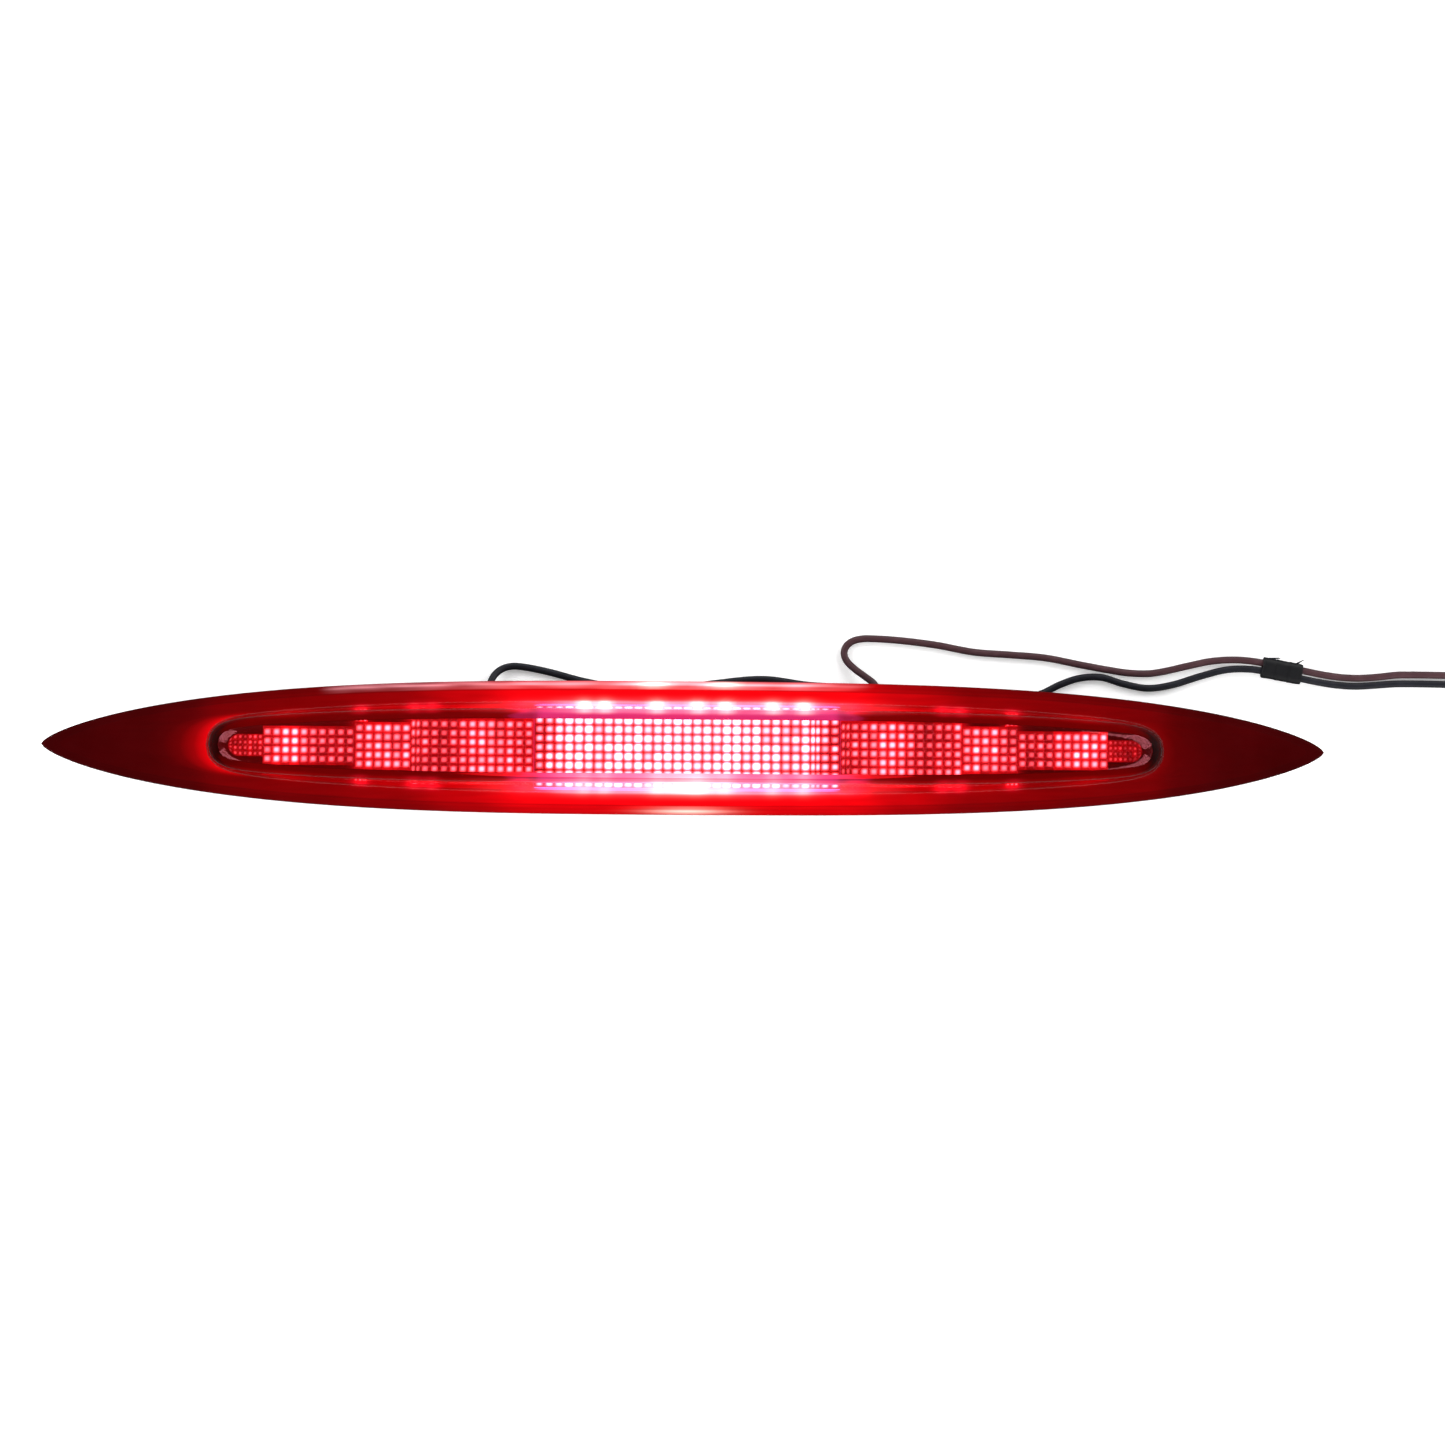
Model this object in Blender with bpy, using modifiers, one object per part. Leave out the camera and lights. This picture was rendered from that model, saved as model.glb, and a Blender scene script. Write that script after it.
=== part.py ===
"""Third brake light: a long LED stop lamp with a pointed red lens and two free leads.

The lamp lies on its back, lens up. X runs along the lamp, Y across it, Z up.
The origin is the middle of the housing's flat back, on the surface the lamp lies on.
All sizes are in metres.
"""

import math

import bmesh
import bpy
from mathutils import Matrix, Vector

# Overall size of the lens
LENGTH = 0.410
WIDTH = 0.0427
SPINDLE_POWER = 3.13
SPINDLE_BLUNTNESS = 0.684
TIP_STRETCH = 1.9

# General clearances and smoothness
GAP = 0.0003
FIT_GAP = 0.0004
RING_QUARTER = 20
TURN_STEPS = 16
SHARP_ANGLE = math.radians(35)
BEVEL_ANGLE = math.radians(40)

# Window of the lens: its foot on the flange, and how it rises between the two flat wings
WING_LENGTH = 0.052
FOOT_INSET = 0.00675
LENS_WALL = 0.0022
RIDGE_MIDDLE = 0.0080
RIDGE_END = 0.0022
WALL_LEAN = 0.36
WALL_TOP_RISE = 0.94
BELLY_RISE = 0.20
CROWN_EDGE = 0.0010
CROWN_BULGE = 0.0012
CROWN_SPREADS = (0.80, 0.50, 0.20)

# Rear housing
HOUSING_WALL = 0.0020
HOUSING_FLOOR = 0.0020
HOUSING_HEIGHT = 0.0132
HOUSING_CHAMFER = 0.0010

# Bead between housing and lens, and the foam gasket under the flange
SEAL_THICKNESS = 0.0012
SEAL_WIDTH = 0.0013
GASKET_THICKNESS = 0.0027
GASKET_INSET = 0.0016

# Circuit board and what is on it
BOARD_THICKNESS = 0.0016
BOARD_UNDERSIDE = 0.0070
BOARD_BOSS_RADIUS = 0.0032
SCREW_RADIUS = 0.0010
SCREW_HEAD_RADIUS = 0.0025
SCREW_HEAD_HEIGHT = 0.0018
SCREW_FACE_RADIUS = 0.0015
SCREW_DEPTH = 0.0040
CENTRE_LED_PITCH = 0.0209
SIDE_LED_START = 0.0142
SIDE_LED_END = 0.0083
LED_SIDE = 0.0076
LED_HEIGHT = 0.0030
LED_DOME_RADIUS = 0.0025
LED_DOME_HEIGHT = 0.0013
BOARD_PART_OFFSET = 0.0060
RESISTOR_SIZE = (0.0064, 0.0032, 0.0007)
DIODE_SIZE = (0.0044, 0.0027, 0.0021)

# Reflector tray: a skirt that stands on the board, with a plate across it
TRAY_WALL = 0.0010
TRAY_PLATE = 0.0012
TRAY_PLATE_ABOVE_BOARD = 0.0037
LED_WINDOW_RADIUS = 0.0036

# Pillow optics: a row pitch, and where each side strip has its bracket, ears and nose
OPTIC_THICKNESS = 0.0024
PILLOW_PITCH = 0.0029
STRIP_MARGIN = 0.0005
CENTRE_OPTIC_HALF = 0.0488
STRIP_END_INSET = 0.0180
BRACKET_LENGTH = 0.0065
BIG_EAR_SHARE = 0.36
BIG_EAR_LENGTH = 0.0080
SMALL_EAR_SHARE = 0.615
SMALL_EAR_LENGTH = 0.0040
NOSE_LENGTH = 0.0110
NOSE_HALF_WIDTH = 0.0036

# Threaded inserts in the housing's back, and the breather vent
INSERT_RADIUS = 0.0034
INSERT_BORE_RADIUS = 0.0021
INSERT_LENGTH = 0.0045
INSERT_GROOVE_WIDTH = 0.0011
INSERT_GROOVE_DEPTH = 0.0004
INSERT_BOSS_RADIUS = 0.0056
VENT_STEM_RADIUS = 0.0020
VENT_HEAD_RADIUS = 0.0034
VENT_HEAD_HEIGHT = 0.0010

# Leads: brown and black, each on its own route of hand-chosen points, and their grommets
WIRE_DIAMETER = 0.0023
WIRE_POINT_SPACING = 0.0052
ROUTE_PIECES = 12
BROWN_ROUTE = (
    (0.0622, 0.0090, 0.0045), (0.0622, 0.0145, 0.0045), (0.0622, 0.0190, 0.0045),
    (0.0608, 0.0219, 0.0043), (0.0580, 0.0243, 0.0034), (0.0549, 0.0267, 0.0022),
    (0.0524, 0.0292, 0.0013), (0.0513, 0.0316, 0.0012), (0.0516, 0.0337, 0.0012),
    (0.0530, 0.0354, 0.0012), (0.0554, 0.0365, 0.0012), (0.0592, 0.0369, 0.0012),
    (0.0700, 0.0363, 0.0012), (0.0816, 0.0349, 0.0012), (0.0933, 0.0328, 0.0012),
    (0.1050, 0.0320, 0.0012), (0.1167, 0.0311, 0.0012), (0.1284, 0.0289, 0.0012),
    (0.1363, 0.0275, 0.0012), (0.1440, 0.0264, 0.0012), (0.1520, 0.0264, 0.0012),
    (0.1636, 0.0289, 0.0012), (0.1706, 0.0304, 0.0013), (0.1778, 0.0309, 0.0020),
    (0.1848, 0.0304, 0.0025), (0.1925, 0.0290, 0.0025), (0.2002, 0.0276, 0.0025),
    (0.2067, 0.0264, 0.0018), (0.2128, 0.0256, 0.0012), (0.2190, 0.0253, 0.0012),
    (0.2252, 0.0257, 0.0012), (0.2330, 0.0265, 0.0012), (0.2600, 0.0263, 0.0012),
    (0.2760, 0.0264, 0.0014), (0.2860, 0.0268, 0.0025), (0.2940, 0.0270, 0.0041),
    (0.3000, 0.0270, 0.0045), (0.3080, 0.0270, 0.0045),
)
BLACK_ROUTE = (
    (-0.0634, 0.0090, 0.0045), (-0.0634, 0.0145, 0.0045), (-0.0634, 0.0190, 0.0045),
    (-0.0628, 0.0218, 0.0041), (-0.0613, 0.0244, 0.0029), (-0.0585, 0.0264, 0.0016),
    (-0.0545, 0.0270, 0.0012), (-0.0450, 0.0254, 0.0012), (-0.0325, 0.0222, 0.0012),
    (-0.0180, 0.0199, 0.0012), (-0.0040, 0.0199, 0.0012), (0.0085, 0.0218, 0.0012),
    (0.0250, 0.0234, 0.0012), (0.0400, 0.0216, 0.0012), (0.0610, 0.0206, 0.0012),
    (0.0730, 0.0189, 0.0012), (0.0900, 0.0179, 0.0012), (0.1070, 0.0180, 0.0012),
    (0.1150, 0.0193, 0.0012), (0.1215, 0.0224, 0.0012), (0.1280, 0.0246, 0.0012),
    (0.1350, 0.0249, 0.0012), (0.1420, 0.0229, 0.0012), (0.1500, 0.0215, 0.0012),
    (0.1580, 0.0226, 0.0012), (0.1676, 0.0256, 0.0013), (0.1762, 0.0277, 0.0019),
    (0.1843, 0.0278, 0.0025), (0.1920, 0.0264, 0.0025), (0.1997, 0.0250, 0.0025),
    (0.2062, 0.0238, 0.0018), (0.2124, 0.0230, 0.0012), (0.2188, 0.0227, 0.0012),
    (0.2330, 0.0236, 0.0012), (0.2600, 0.0232, 0.0012), (0.2760, 0.0226, 0.0014),
    (0.2860, 0.0222, 0.0025), (0.2940, 0.0220, 0.0041), (0.3000, 0.0220, 0.0045),
    (0.3080, 0.0220, 0.0045),
)
GROMMET_BARREL_RADIUS = 0.0022
GROMMET_FLANGE_RADIUS = 0.0034
GROMMET_FLANGE = 0.0012
GROMMET_TAIL = 0.0030
GROMMET_TAIL_RADIUS = 0.0019
GROMMET_INSIDE = 0.0008

# Tape wrapped round the two leads where they run straight, with a lifted corner at each end
WRAP_MIDDLE = (0.1938, 0.0274, 0.0025)
WRAP_TURN = math.radians(-10.3)
WRAP_LENGTH = 0.0130
WRAP_THICKNESS = 0.0007
WRAP_CORNERS = (
    (-0.0050, math.radians(14), (0.0042, 0.0006, 0.0022)),
    (0.0042, math.radians(38), (0.0034, 0.0006, 0.0018)),
)
WRAP_SINK = 0.0004

# Two-way connector at the end of the leads, with a sliding lock on top
CONNECTOR_LENGTH = 0.0240
CONNECTOR_WIDTH = 0.0130
CONNECTOR_HEIGHT = 0.0090
WIRE_INSERTION = 0.0080
SEAL_BORE_RADIUS = 0.0022
WIRE_SEAL_LENGTH = 0.0048
WIRE_SEAL_RIBS = 3
TERMINAL_SIZE = (0.0110, 0.0024, 0.0016)
CAVITY_MARGIN = 0.0003
RAIL_HALF_SPAN = 0.0033
RAIL_WALL = 0.0012
RAIL_LIP = 0.0008
RAIL_HEIGHT = 0.0024
LOCK_LENGTH = 0.0070
LOCK_REST = 0.0045
LOCK_TRAVEL = 0.0030
LOCK_GRIPS = 3
LOCK_CLEARANCE = 0.0004

# Places along the lamp that follow from the sizes above
WINDOW_LENGTH = LENGTH - 2 * WING_LENGTH
STRIP_START = CENTRE_OPTIC_HALF + GAP
STRIP_END = WINDOW_LENGTH / 2 - STRIP_END_INSET
INNER_LEDS = (CENTRE_LED_PITCH / 2, 1.5 * CENTRE_LED_PITCH)
FIRST_SIDE_LED = STRIP_START + SIDE_LED_START
LAST_SIDE_LED = STRIP_END - SIDE_LED_END
MIDDLE_SIDE_LED = (FIRST_SIDE_LED + LAST_SIDE_LED) / 2
RIGHT_LEDS = (*INNER_LEDS, FIRST_SIDE_LED, MIDDLE_SIDE_LED, LAST_SIDE_LED)
LED_PLACES = tuple(-x for x in reversed(RIGHT_LEDS)) + RIGHT_LEDS
INNER_SCREW = (INNER_LEDS[1] + FIRST_SIDE_LED) / 2
OUTER_SCREW = (MIDDLE_SIDE_LED + LAST_SIDE_LED) / 2
SCREW_PLACES = (-OUTER_SCREW, -INNER_SCREW, INNER_SCREW, OUTER_SCREW)
INSERT_PLACE = (FIRST_SIDE_LED + MIDDLE_SIDE_LED) / 2
INSERT_PLACES = (-INSERT_PLACE, INSERT_PLACE)
VENT_PLACE = CENTRE_LED_PITCH
RESISTOR_PLACES = (-2 * CENTRE_LED_PITCH, -CENTRE_LED_PITCH, CENTRE_LED_PITCH)
DIODE_PLACE = 2 * CENTRE_LED_PITCH

# Heights that follow from the sizes above
SEAL_UNDERSIDE = HOUSING_HEIGHT + GAP
FLANGE_UNDERSIDE = SEAL_UNDERSIDE + SEAL_THICKNESS + GAP
FLANGE_TOP = FLANGE_UNDERSIDE + LENS_WALL
BOARD_TOP = BOARD_UNDERSIDE + BOARD_THICKNESS
LED_UNDERSIDE = BOARD_TOP + GAP
TRAY_PLATE_UNDERSIDE = BOARD_TOP + TRAY_PLATE_ABOVE_BOARD
TRAY_PLATE_TOP = TRAY_PLATE_UNDERSIDE + TRAY_PLATE
OPTIC_UNDERSIDE = TRAY_PLATE_TOP + GAP

# Insets and radii that follow from the sizes above
EDGE_SIDE_DROP = 0.45 * LENS_WALL
EDGE_SHOULDER_DROP = 0.18 * LENS_WALL
EDGE_SHOULDER_INSET = 0.25 * LENS_WALL
EDGE_SLOPE_INSET = 1.4 * LENS_WALL
WALL_BELLY = CROWN_EDGE / 3
CROWN_INSET = FOOT_INSET + CROWN_EDGE
CROWN_EDGE_LIFT = 0.3 * CROWN_EDGE
TRAY_OUTER_INSET = FOOT_INSET + max(LENS_WALL, HOUSING_WALL) + FIT_GAP
TRAY_INNER_INSET = TRAY_OUTER_INSET + TRAY_WALL
WIRE_BORE_RADIUS = WIRE_DIAMETER / 2 + GAP


# ---------------------------------------------------------------- scene and objects

def clear_scene():
    for old in list(bpy.data.objects):
        bpy.data.objects.remove(old, do_unlink=True)


def new_collection(name):
    collection = bpy.data.collections.new(name)
    bpy.context.scene.collection.children.link(collection)
    return collection


clear_scene()
LAMP = new_collection("third_brake_light")
CUTTERS = new_collection("cutters")


def material(name, colour, roughness=0.5, metallic=0.0, transmission=0.0):
    made = bpy.data.materials.new(name)
    made.use_nodes = True
    shader = made.node_tree.nodes["Principled BSDF"]
    shader.inputs["Base Color"].default_value = (*colour, 1.0)
    shader.inputs["Roughness"].default_value = roughness
    shader.inputs["Metallic"].default_value = metallic
    shader.inputs["Transmission Weight"].default_value = transmission
    return made


RED_LENS = material("red_lens", (0.45, 0.005, 0.008), 0.15, transmission=0.6)
CLEAR_OPTIC = material("clear_optic", (0.95, 0.90, 0.90), 0.10, transmission=0.8)
BLACK_PLASTIC = material("black_plastic", (0.02, 0.02, 0.022), 0.45)
DARK_TRAY = material("dark_tray", (0.05, 0.01, 0.01), 0.35)
BLACK_FOAM = material("black_foam", (0.03, 0.03, 0.03), 0.95)
BLACK_RUBBER = material("black_rubber", (0.025, 0.025, 0.025), 0.80)
SEAL_BEAD = material("seal_bead", (0.05, 0.05, 0.05), 0.60)
GREEN_BOARD = material("green_board", (0.03, 0.16, 0.06), 0.40)
LED_BODY = material("led_body", (0.90, 0.55, 0.55), 0.20, transmission=0.4)
CERAMIC = material("resistor_ceramic", (0.03, 0.03, 0.04), 0.50)
STEEL = material("zinc_steel", (0.60, 0.60, 0.58), 0.30, metallic=1.0)
BRASS = material("brass", (0.78, 0.58, 0.25), 0.30, metallic=1.0)
TIN = material("tinned_copper", (0.72, 0.70, 0.66), 0.30, metallic=1.0)
BROWN_PVC = material("brown_pvc", (0.09, 0.045, 0.05), 0.45)
BLACK_PVC = material("black_pvc", (0.025, 0.026, 0.032), 0.45)
BLACK_TAPE = material("black_tape", (0.018, 0.018, 0.020), 0.35)
GREY_PLASTIC = material("grey_plastic", (0.12, 0.12, 0.13), 0.45)
LOCK_PLASTIC = material("lock_plastic", (0.70, 0.20, 0.03), 0.40)
SILICONE = material("seal_silicone", (0.50, 0.12, 0.05), 0.60)


def add_mesh(name, mesh, finish, collection=None):
    made = bpy.data.objects.new(name, mesh)
    (collection or LAMP).objects.link(made)
    made.data.materials.clear()
    made.data.materials.append(finish)
    return made


def mesh_from(bm, name):
    bmesh.ops.recalc_face_normals(bm, faces=bm.faces)
    mesh = bpy.data.meshes.new(name)
    bm.to_mesh(mesh)
    bm.free()
    return mesh


def smooth(made):
    made.data.shade_smooth()
    made.data.set_sharp_from_angle(angle=SHARP_ANGLE)


def cutter(name, bm):
    made = bpy.data.objects.new(name, mesh_from(bm, name))
    CUTTERS.objects.link(made)
    made.hide_render = True
    made.display_type = "WIRE"
    return made


def boolean(made, tool, operation="DIFFERENCE"):
    change = made.modifiers.new(tool.name, "BOOLEAN")
    change.operation = operation
    change.solver = "EXACT"
    change.object = tool


def bevel(made, width, segments=2):
    change = made.modifiers.new("edges", "BEVEL")
    change.width = width
    change.segments = segments
    change.limit_method = "ANGLE"
    change.angle_limit = BEVEL_ANGLE


# ---------------------------------------------------------------- basic shapes

def box_into(bm, size, middle):
    place = Matrix.Translation(middle) @ Matrix.Diagonal((*size, 1.0))
    bmesh.ops.create_cube(bm, size=1.0, matrix=place)


def cylinder_into(bm, radius, length, middle, turn=Matrix.Identity(4), sides=TURN_STEPS):
    place = Matrix.Translation(middle) @ turn
    bmesh.ops.create_cone(bm, cap_ends=True, segments=sides, radius1=radius, radius2=radius,
                          depth=length, matrix=place)


def box(name, size, middle, finish):
    bm = bmesh.new()
    box_into(bm, size, (0, 0, 0))
    made = add_mesh(name, mesh_from(bm, name), finish)
    made.location = middle
    return made


def turned(name, profile, finish, place, turn=(0, 0, 0), closed=False, steps=TURN_STEPS):
    """A turned piece: profile holds (radius, height) pairs from the top down the outer side."""
    mesh = bpy.data.meshes.new(name)
    corners = [(radius, 0, height) for radius, height in profile]
    edges = [(i, i + 1) for i in range(len(corners) - 1)]
    if closed:
        edges.append((len(corners) - 1, 0))
    mesh.from_pydata(corners, edges, [])
    made = add_mesh(name, mesh, finish)
    made.location = place
    made.rotation_euler = turn
    screw = made.modifiers.new("turn", "SCREW")
    screw.steps = steps
    screw.render_steps = steps
    screw.use_merge_vertices = True
    screw.merge_threshold = 0.00001
    screw.use_smooth_shade = False
    return made


def flat_plate(name, outlines, low, high, finish):
    """A flat plate between two heights, from closed outlines of (x, y) points: later ones are holes."""
    curve = bpy.data.curves.new(name, "CURVE")
    curve.dimensions = "2D"
    curve.fill_mode = "BOTH"
    curve.extrude = (high - low) / 2
    for outline in outlines:
        spline = curve.splines.new("POLY")
        spline.points.add(len(outline) - 1)
        for point, (x, y) in zip(spline.points, outline):
            point.co = (x, y, 0, 1)
        spline.use_cyclic_u = True
    drawn = bpy.data.objects.new(name + "_curve", curve)
    LAMP.objects.link(drawn)
    bpy.context.view_layer.update()
    mesh = bpy.data.meshes.new_from_object(drawn.evaluated_get(bpy.context.evaluated_depsgraph_get()))
    bpy.data.objects.remove(drawn, do_unlink=True)
    bm = bmesh.new()
    bm.from_mesh(mesh)
    bmesh.ops.remove_doubles(bm, verts=bm.verts, dist=0.000001)
    bpy.data.meshes.remove(mesh)
    made = add_mesh(name, mesh_from(bm, name), finish)
    made.location.z = (low + high) / 2
    return made


# ---------------------------------------------------------------- rings round the lamp

def outline_half_width(x):
    """Half the lens's width at x: a spindle that closes in a point at both ends."""
    share = min(abs(x) / (LENGTH / 2), 1.0)
    return WIDTH / 2 * (1 - share ** SPINDLE_POWER) ** SPINDLE_BLUNTNESS


def wall_height(x):
    """Height of the window's raised wall: tall at the middle, low at the ends."""
    share = min(abs(x) / (WINDOW_LENGTH / 2), 1.0)
    return RIDGE_END + (RIDGE_MIDDLE - RIDGE_END) * (1 - share ** 2)


def round_trip(half_length, half_width_at, height_at):
    """One closed ring: from the right end along +Y to the left end, and back along -Y."""
    steps = [1 - (1 - i / RING_QUARTER) ** 2 for i in range(RING_QUARTER + 1)]
    shares = steps[::-1] + [-step for step in steps[1:]]
    far_side = [(half_length * share, half_width_at(share)) for share in shares]
    near_side = [(x, -half) for x, half in far_side[-2:0:-1]]
    return [Vector((x, y, height_at(x))) for x, y in far_side + near_side]


def pointed_ring(inset, height):
    """A ring that follows the lens's pointed outline, moved in from it by inset."""
    half_length = LENGTH / 2 - TIP_STRETCH * inset
    half_width = WIDTH / 2 - inset

    def half_width_at(share):
        return half_width * (1 - abs(share) ** SPINDLE_POWER) ** SPINDLE_BLUNTNESS

    return round_trip(half_length, half_width_at, lambda x: height)


def window_ring(inset, height, rise=0.0, spread=1.0, bulge=0.0):
    """A ring with round ends, inset from the lens's outline and some share up the leaning wall."""
    end_inset = inset + rise * RIDGE_END * WALL_LEAN
    end_half_length = WINDOW_LENGTH / 2 - (end_inset - FOOT_INSET)
    end_radius = outline_half_width(end_half_length) - end_inset
    half_length = end_half_length - (1 - spread) * end_radius
    roundness = 2 * end_half_length / end_radius

    def half_width_at(share):
        x = share * half_length
        half = outline_half_width(x) - inset - rise * wall_height(x) * WALL_LEAN
        return spread * half * math.sqrt(1 - abs(share) ** roundness)

    return round_trip(half_length, half_width_at, lambda x: height + rise * wall_height(x) + bulge)


def cap_across(bm, ring):
    """Closes a ring with faces that run straight across it from side to side."""
    count = len(ring)
    for i in range(count // 2):
        corners = [ring[i], ring[i + 1], ring[(count - i - 1) % count], ring[(count - i) % count]]
        bm.faces.new(list(dict.fromkeys(corners)))


def join_across(bm, lower, upper):
    """Faces from one ring to another of equal length."""
    for i in range(len(lower)):
        j = (i + 1) % len(lower)
        bm.faces.new((lower[i], lower[j], upper[j], upper[i]))


def loft(name, rings, finish, cap_after=None):
    """A closed solid through rings: each is joined to the next, and the last to the first.

    Where cap_after counts to a ring, that ring and the next are capped instead of joined.
    """
    bm = bmesh.new()
    rows = [[bm.verts.new(point) for point in ring] for ring in rings]
    for i, (lower, upper) in enumerate(zip(rows, rows[1:] + rows[:1])):
        if i == cap_after:
            cap_across(bm, lower)
            cap_across(bm, upper)
        else:
            join_across(bm, lower, upper)
    made = add_mesh(name, mesh_from(bm, name), finish)
    smooth(made)
    return made


def inner_half_width(x):
    """Free half width inside the reflector tray's skirt, for what sits in it."""
    return outline_half_width(x) - TRAY_INNER_INSET - GAP


# ---------------------------------------------------------------- lens, seals and housing

def outer_lens():
    """A shell: rings over the flange, up the wall and over the crown, then back down inside."""
    rings = flange_rings() + window_outside()
    crown_end = len(rings) - 1
    rings += window_inside()
    loft("outer_lens", rings, RED_LENS, cap_after=crown_end)


def flange_rings():
    """The flange's edge: an upright side, a steep shoulder, and a slope up to the flat top."""
    return [pointed_ring(0, FLANGE_UNDERSIDE),
            pointed_ring(0, FLANGE_TOP - EDGE_SIDE_DROP),
            pointed_ring(EDGE_SHOULDER_INSET, FLANGE_TOP - EDGE_SHOULDER_DROP),
            pointed_ring(EDGE_SLOPE_INSET, FLANGE_TOP)]


def crown_bulge(spread):
    return CROWN_BULGE * (1 - spread ** 2)


def window_outside():
    rings = [window_ring(FOOT_INSET, FLANGE_TOP),
             window_ring(FOOT_INSET + WALL_BELLY, FLANGE_TOP, rise=BELLY_RISE),
             window_ring(FOOT_INSET, FLANGE_TOP, rise=WALL_TOP_RISE),
             window_ring(CROWN_INSET, FLANGE_TOP, rise=1.0, bulge=CROWN_EDGE_LIFT)]
    for spread in CROWN_SPREADS:
        rings.append(window_ring(CROWN_INSET, FLANGE_TOP, 1.0, spread, crown_bulge(spread)))
    return rings


def window_inside():
    rings = []
    for spread in reversed(CROWN_SPREADS):
        rings.append(window_ring(CROWN_INSET + LENS_WALL, FLANGE_UNDERSIDE, 1.0, spread,
                                 crown_bulge(spread)))
    rings.append(window_ring(CROWN_INSET + LENS_WALL, FLANGE_UNDERSIDE, 1.0))
    rings.append(window_ring(FOOT_INSET + LENS_WALL, FLANGE_UNDERSIDE))
    return rings


def body_gasket():
    low = FLANGE_UNDERSIDE - GAP - GASKET_THICKNESS
    high = FLANGE_UNDERSIDE - GAP
    inner = FOOT_INSET - FIT_GAP
    rings = [pointed_ring(GASKET_INSET, low), pointed_ring(GASKET_INSET, high),
             window_ring(inner, high), window_ring(inner, low)]
    loft("body_gasket", rings, BLACK_FOAM)


def lens_seal():
    outer = FOOT_INSET + (HOUSING_WALL - SEAL_WIDTH) / 2
    inner = outer + SEAL_WIDTH
    low, high = SEAL_UNDERSIDE, SEAL_UNDERSIDE + SEAL_THICKNESS
    rings = [window_ring(outer, low), window_ring(outer, high),
             window_ring(inner, high), window_ring(inner, low)]
    loft("lens_seal", rings, SEAL_BEAD)


def rear_housing():
    inner = FOOT_INSET + HOUSING_WALL
    rings = [window_ring(FOOT_INSET + HOUSING_CHAMFER, 0), window_ring(FOOT_INSET, HOUSING_CHAMFER),
             window_ring(FOOT_INSET, HOUSING_HEIGHT), window_ring(inner, HOUSING_HEIGHT),
             window_ring(inner, HOUSING_FLOOR)]
    made = loft("rear_housing", rings, BLACK_PLASTIC, cap_after=len(rings) - 1)
    boolean(made, housing_bosses(), "UNION")
    boolean(made, housing_holes())


def housing_bosses():
    """Screw bosses under the board, and the thicker ones that hold the threaded inserts."""
    bm = bmesh.new()
    sink = HOUSING_FLOOR / 2
    top = BOARD_UNDERSIDE - GAP
    for radius, places in ((BOARD_BOSS_RADIUS, SCREW_PLACES), (INSERT_BOSS_RADIUS, INSERT_PLACES)):
        for x in places:
            cylinder_into(bm, radius, top - sink, (x, 0, (top + sink) / 2))
    return cutter("bosses", bm)


def housing_holes():
    """Holes for the board screws, inserts, vent and grommets."""
    bm = bmesh.new()
    boss_top = BOARD_UNDERSIDE - GAP
    screw_hole = SCREW_DEPTH + GAP
    for x in SCREW_PLACES:
        cylinder_into(bm, SCREW_RADIUS + GAP, 2 * screw_hole, (x, 0, boss_top))
    for x in INSERT_PLACES:
        cylinder_into(bm, INSERT_RADIUS + GAP, 2 * (INSERT_LENGTH + GAP), (x, 0, 0))
    cylinder_into(bm, VENT_STEM_RADIUS + GAP, 4 * HOUSING_FLOOR, (VENT_PLACE, 0, 0))
    along_y = Matrix.Rotation(math.pi / 2, 4, "X")
    for route in (BROWN_ROUTE, BLACK_ROUTE):
        x, y, z = route[0]
        wall = outline_half_width(x) - FOOT_INSET - HOUSING_WALL / 2
        cylinder_into(bm, GROMMET_BARREL_RADIUS + GAP, 3 * HOUSING_WALL, (x, wall, z), along_y)
    return cutter("holes", bm)


def threaded_inserts():
    for side, x in zip(("left", "right"), INSERT_PLACES):
        low, high = GAP, INSERT_LENGTH
        groove_low = (low + high - INSERT_GROOVE_WIDTH) / 2
        groove_high = groove_low + INSERT_GROOVE_WIDTH
        waist = INSERT_RADIUS - INSERT_GROOVE_DEPTH
        profile = [(INSERT_BORE_RADIUS, high), (INSERT_RADIUS, high), (INSERT_RADIUS, groove_high),
                   (waist, groove_high), (waist, groove_low), (INSERT_RADIUS, groove_low),
                   (INSERT_RADIUS, low), (INSERT_BORE_RADIUS, low)]
        smooth(turned("threaded_insert_" + side, profile, BRASS, (x, 0, 0), closed=True))


def breather_vent():
    low = HOUSING_FLOOR + GAP
    profile = [(0, low + VENT_HEAD_HEIGHT), (VENT_HEAD_RADIUS, low + VENT_HEAD_HEIGHT),
               (VENT_HEAD_RADIUS, low), (VENT_STEM_RADIUS, low), (VENT_STEM_RADIUS, GAP), (0, GAP)]
    turned("breather_vent", profile, BLACK_RUBBER, (VENT_PLACE, 0, 0))


# ---------------------------------------------------------------- board, LEDs and optics

def flat_ring(inset):
    return [(point.x, point.y) for point in window_ring(inset, 0)]


def led_board():
    inset = FOOT_INSET + HOUSING_WALL + FIT_GAP
    made = flat_plate("led_board", [flat_ring(inset)], BOARD_UNDERSIDE, BOARD_TOP, GREEN_BOARD)
    bm = bmesh.new()
    for x in SCREW_PLACES:
        cylinder_into(bm, SCREW_RADIUS + FIT_GAP, 4 * BOARD_THICKNESS, (x, 0, BOARD_TOP))
    boolean(made, cutter("board_holes", bm))


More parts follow.
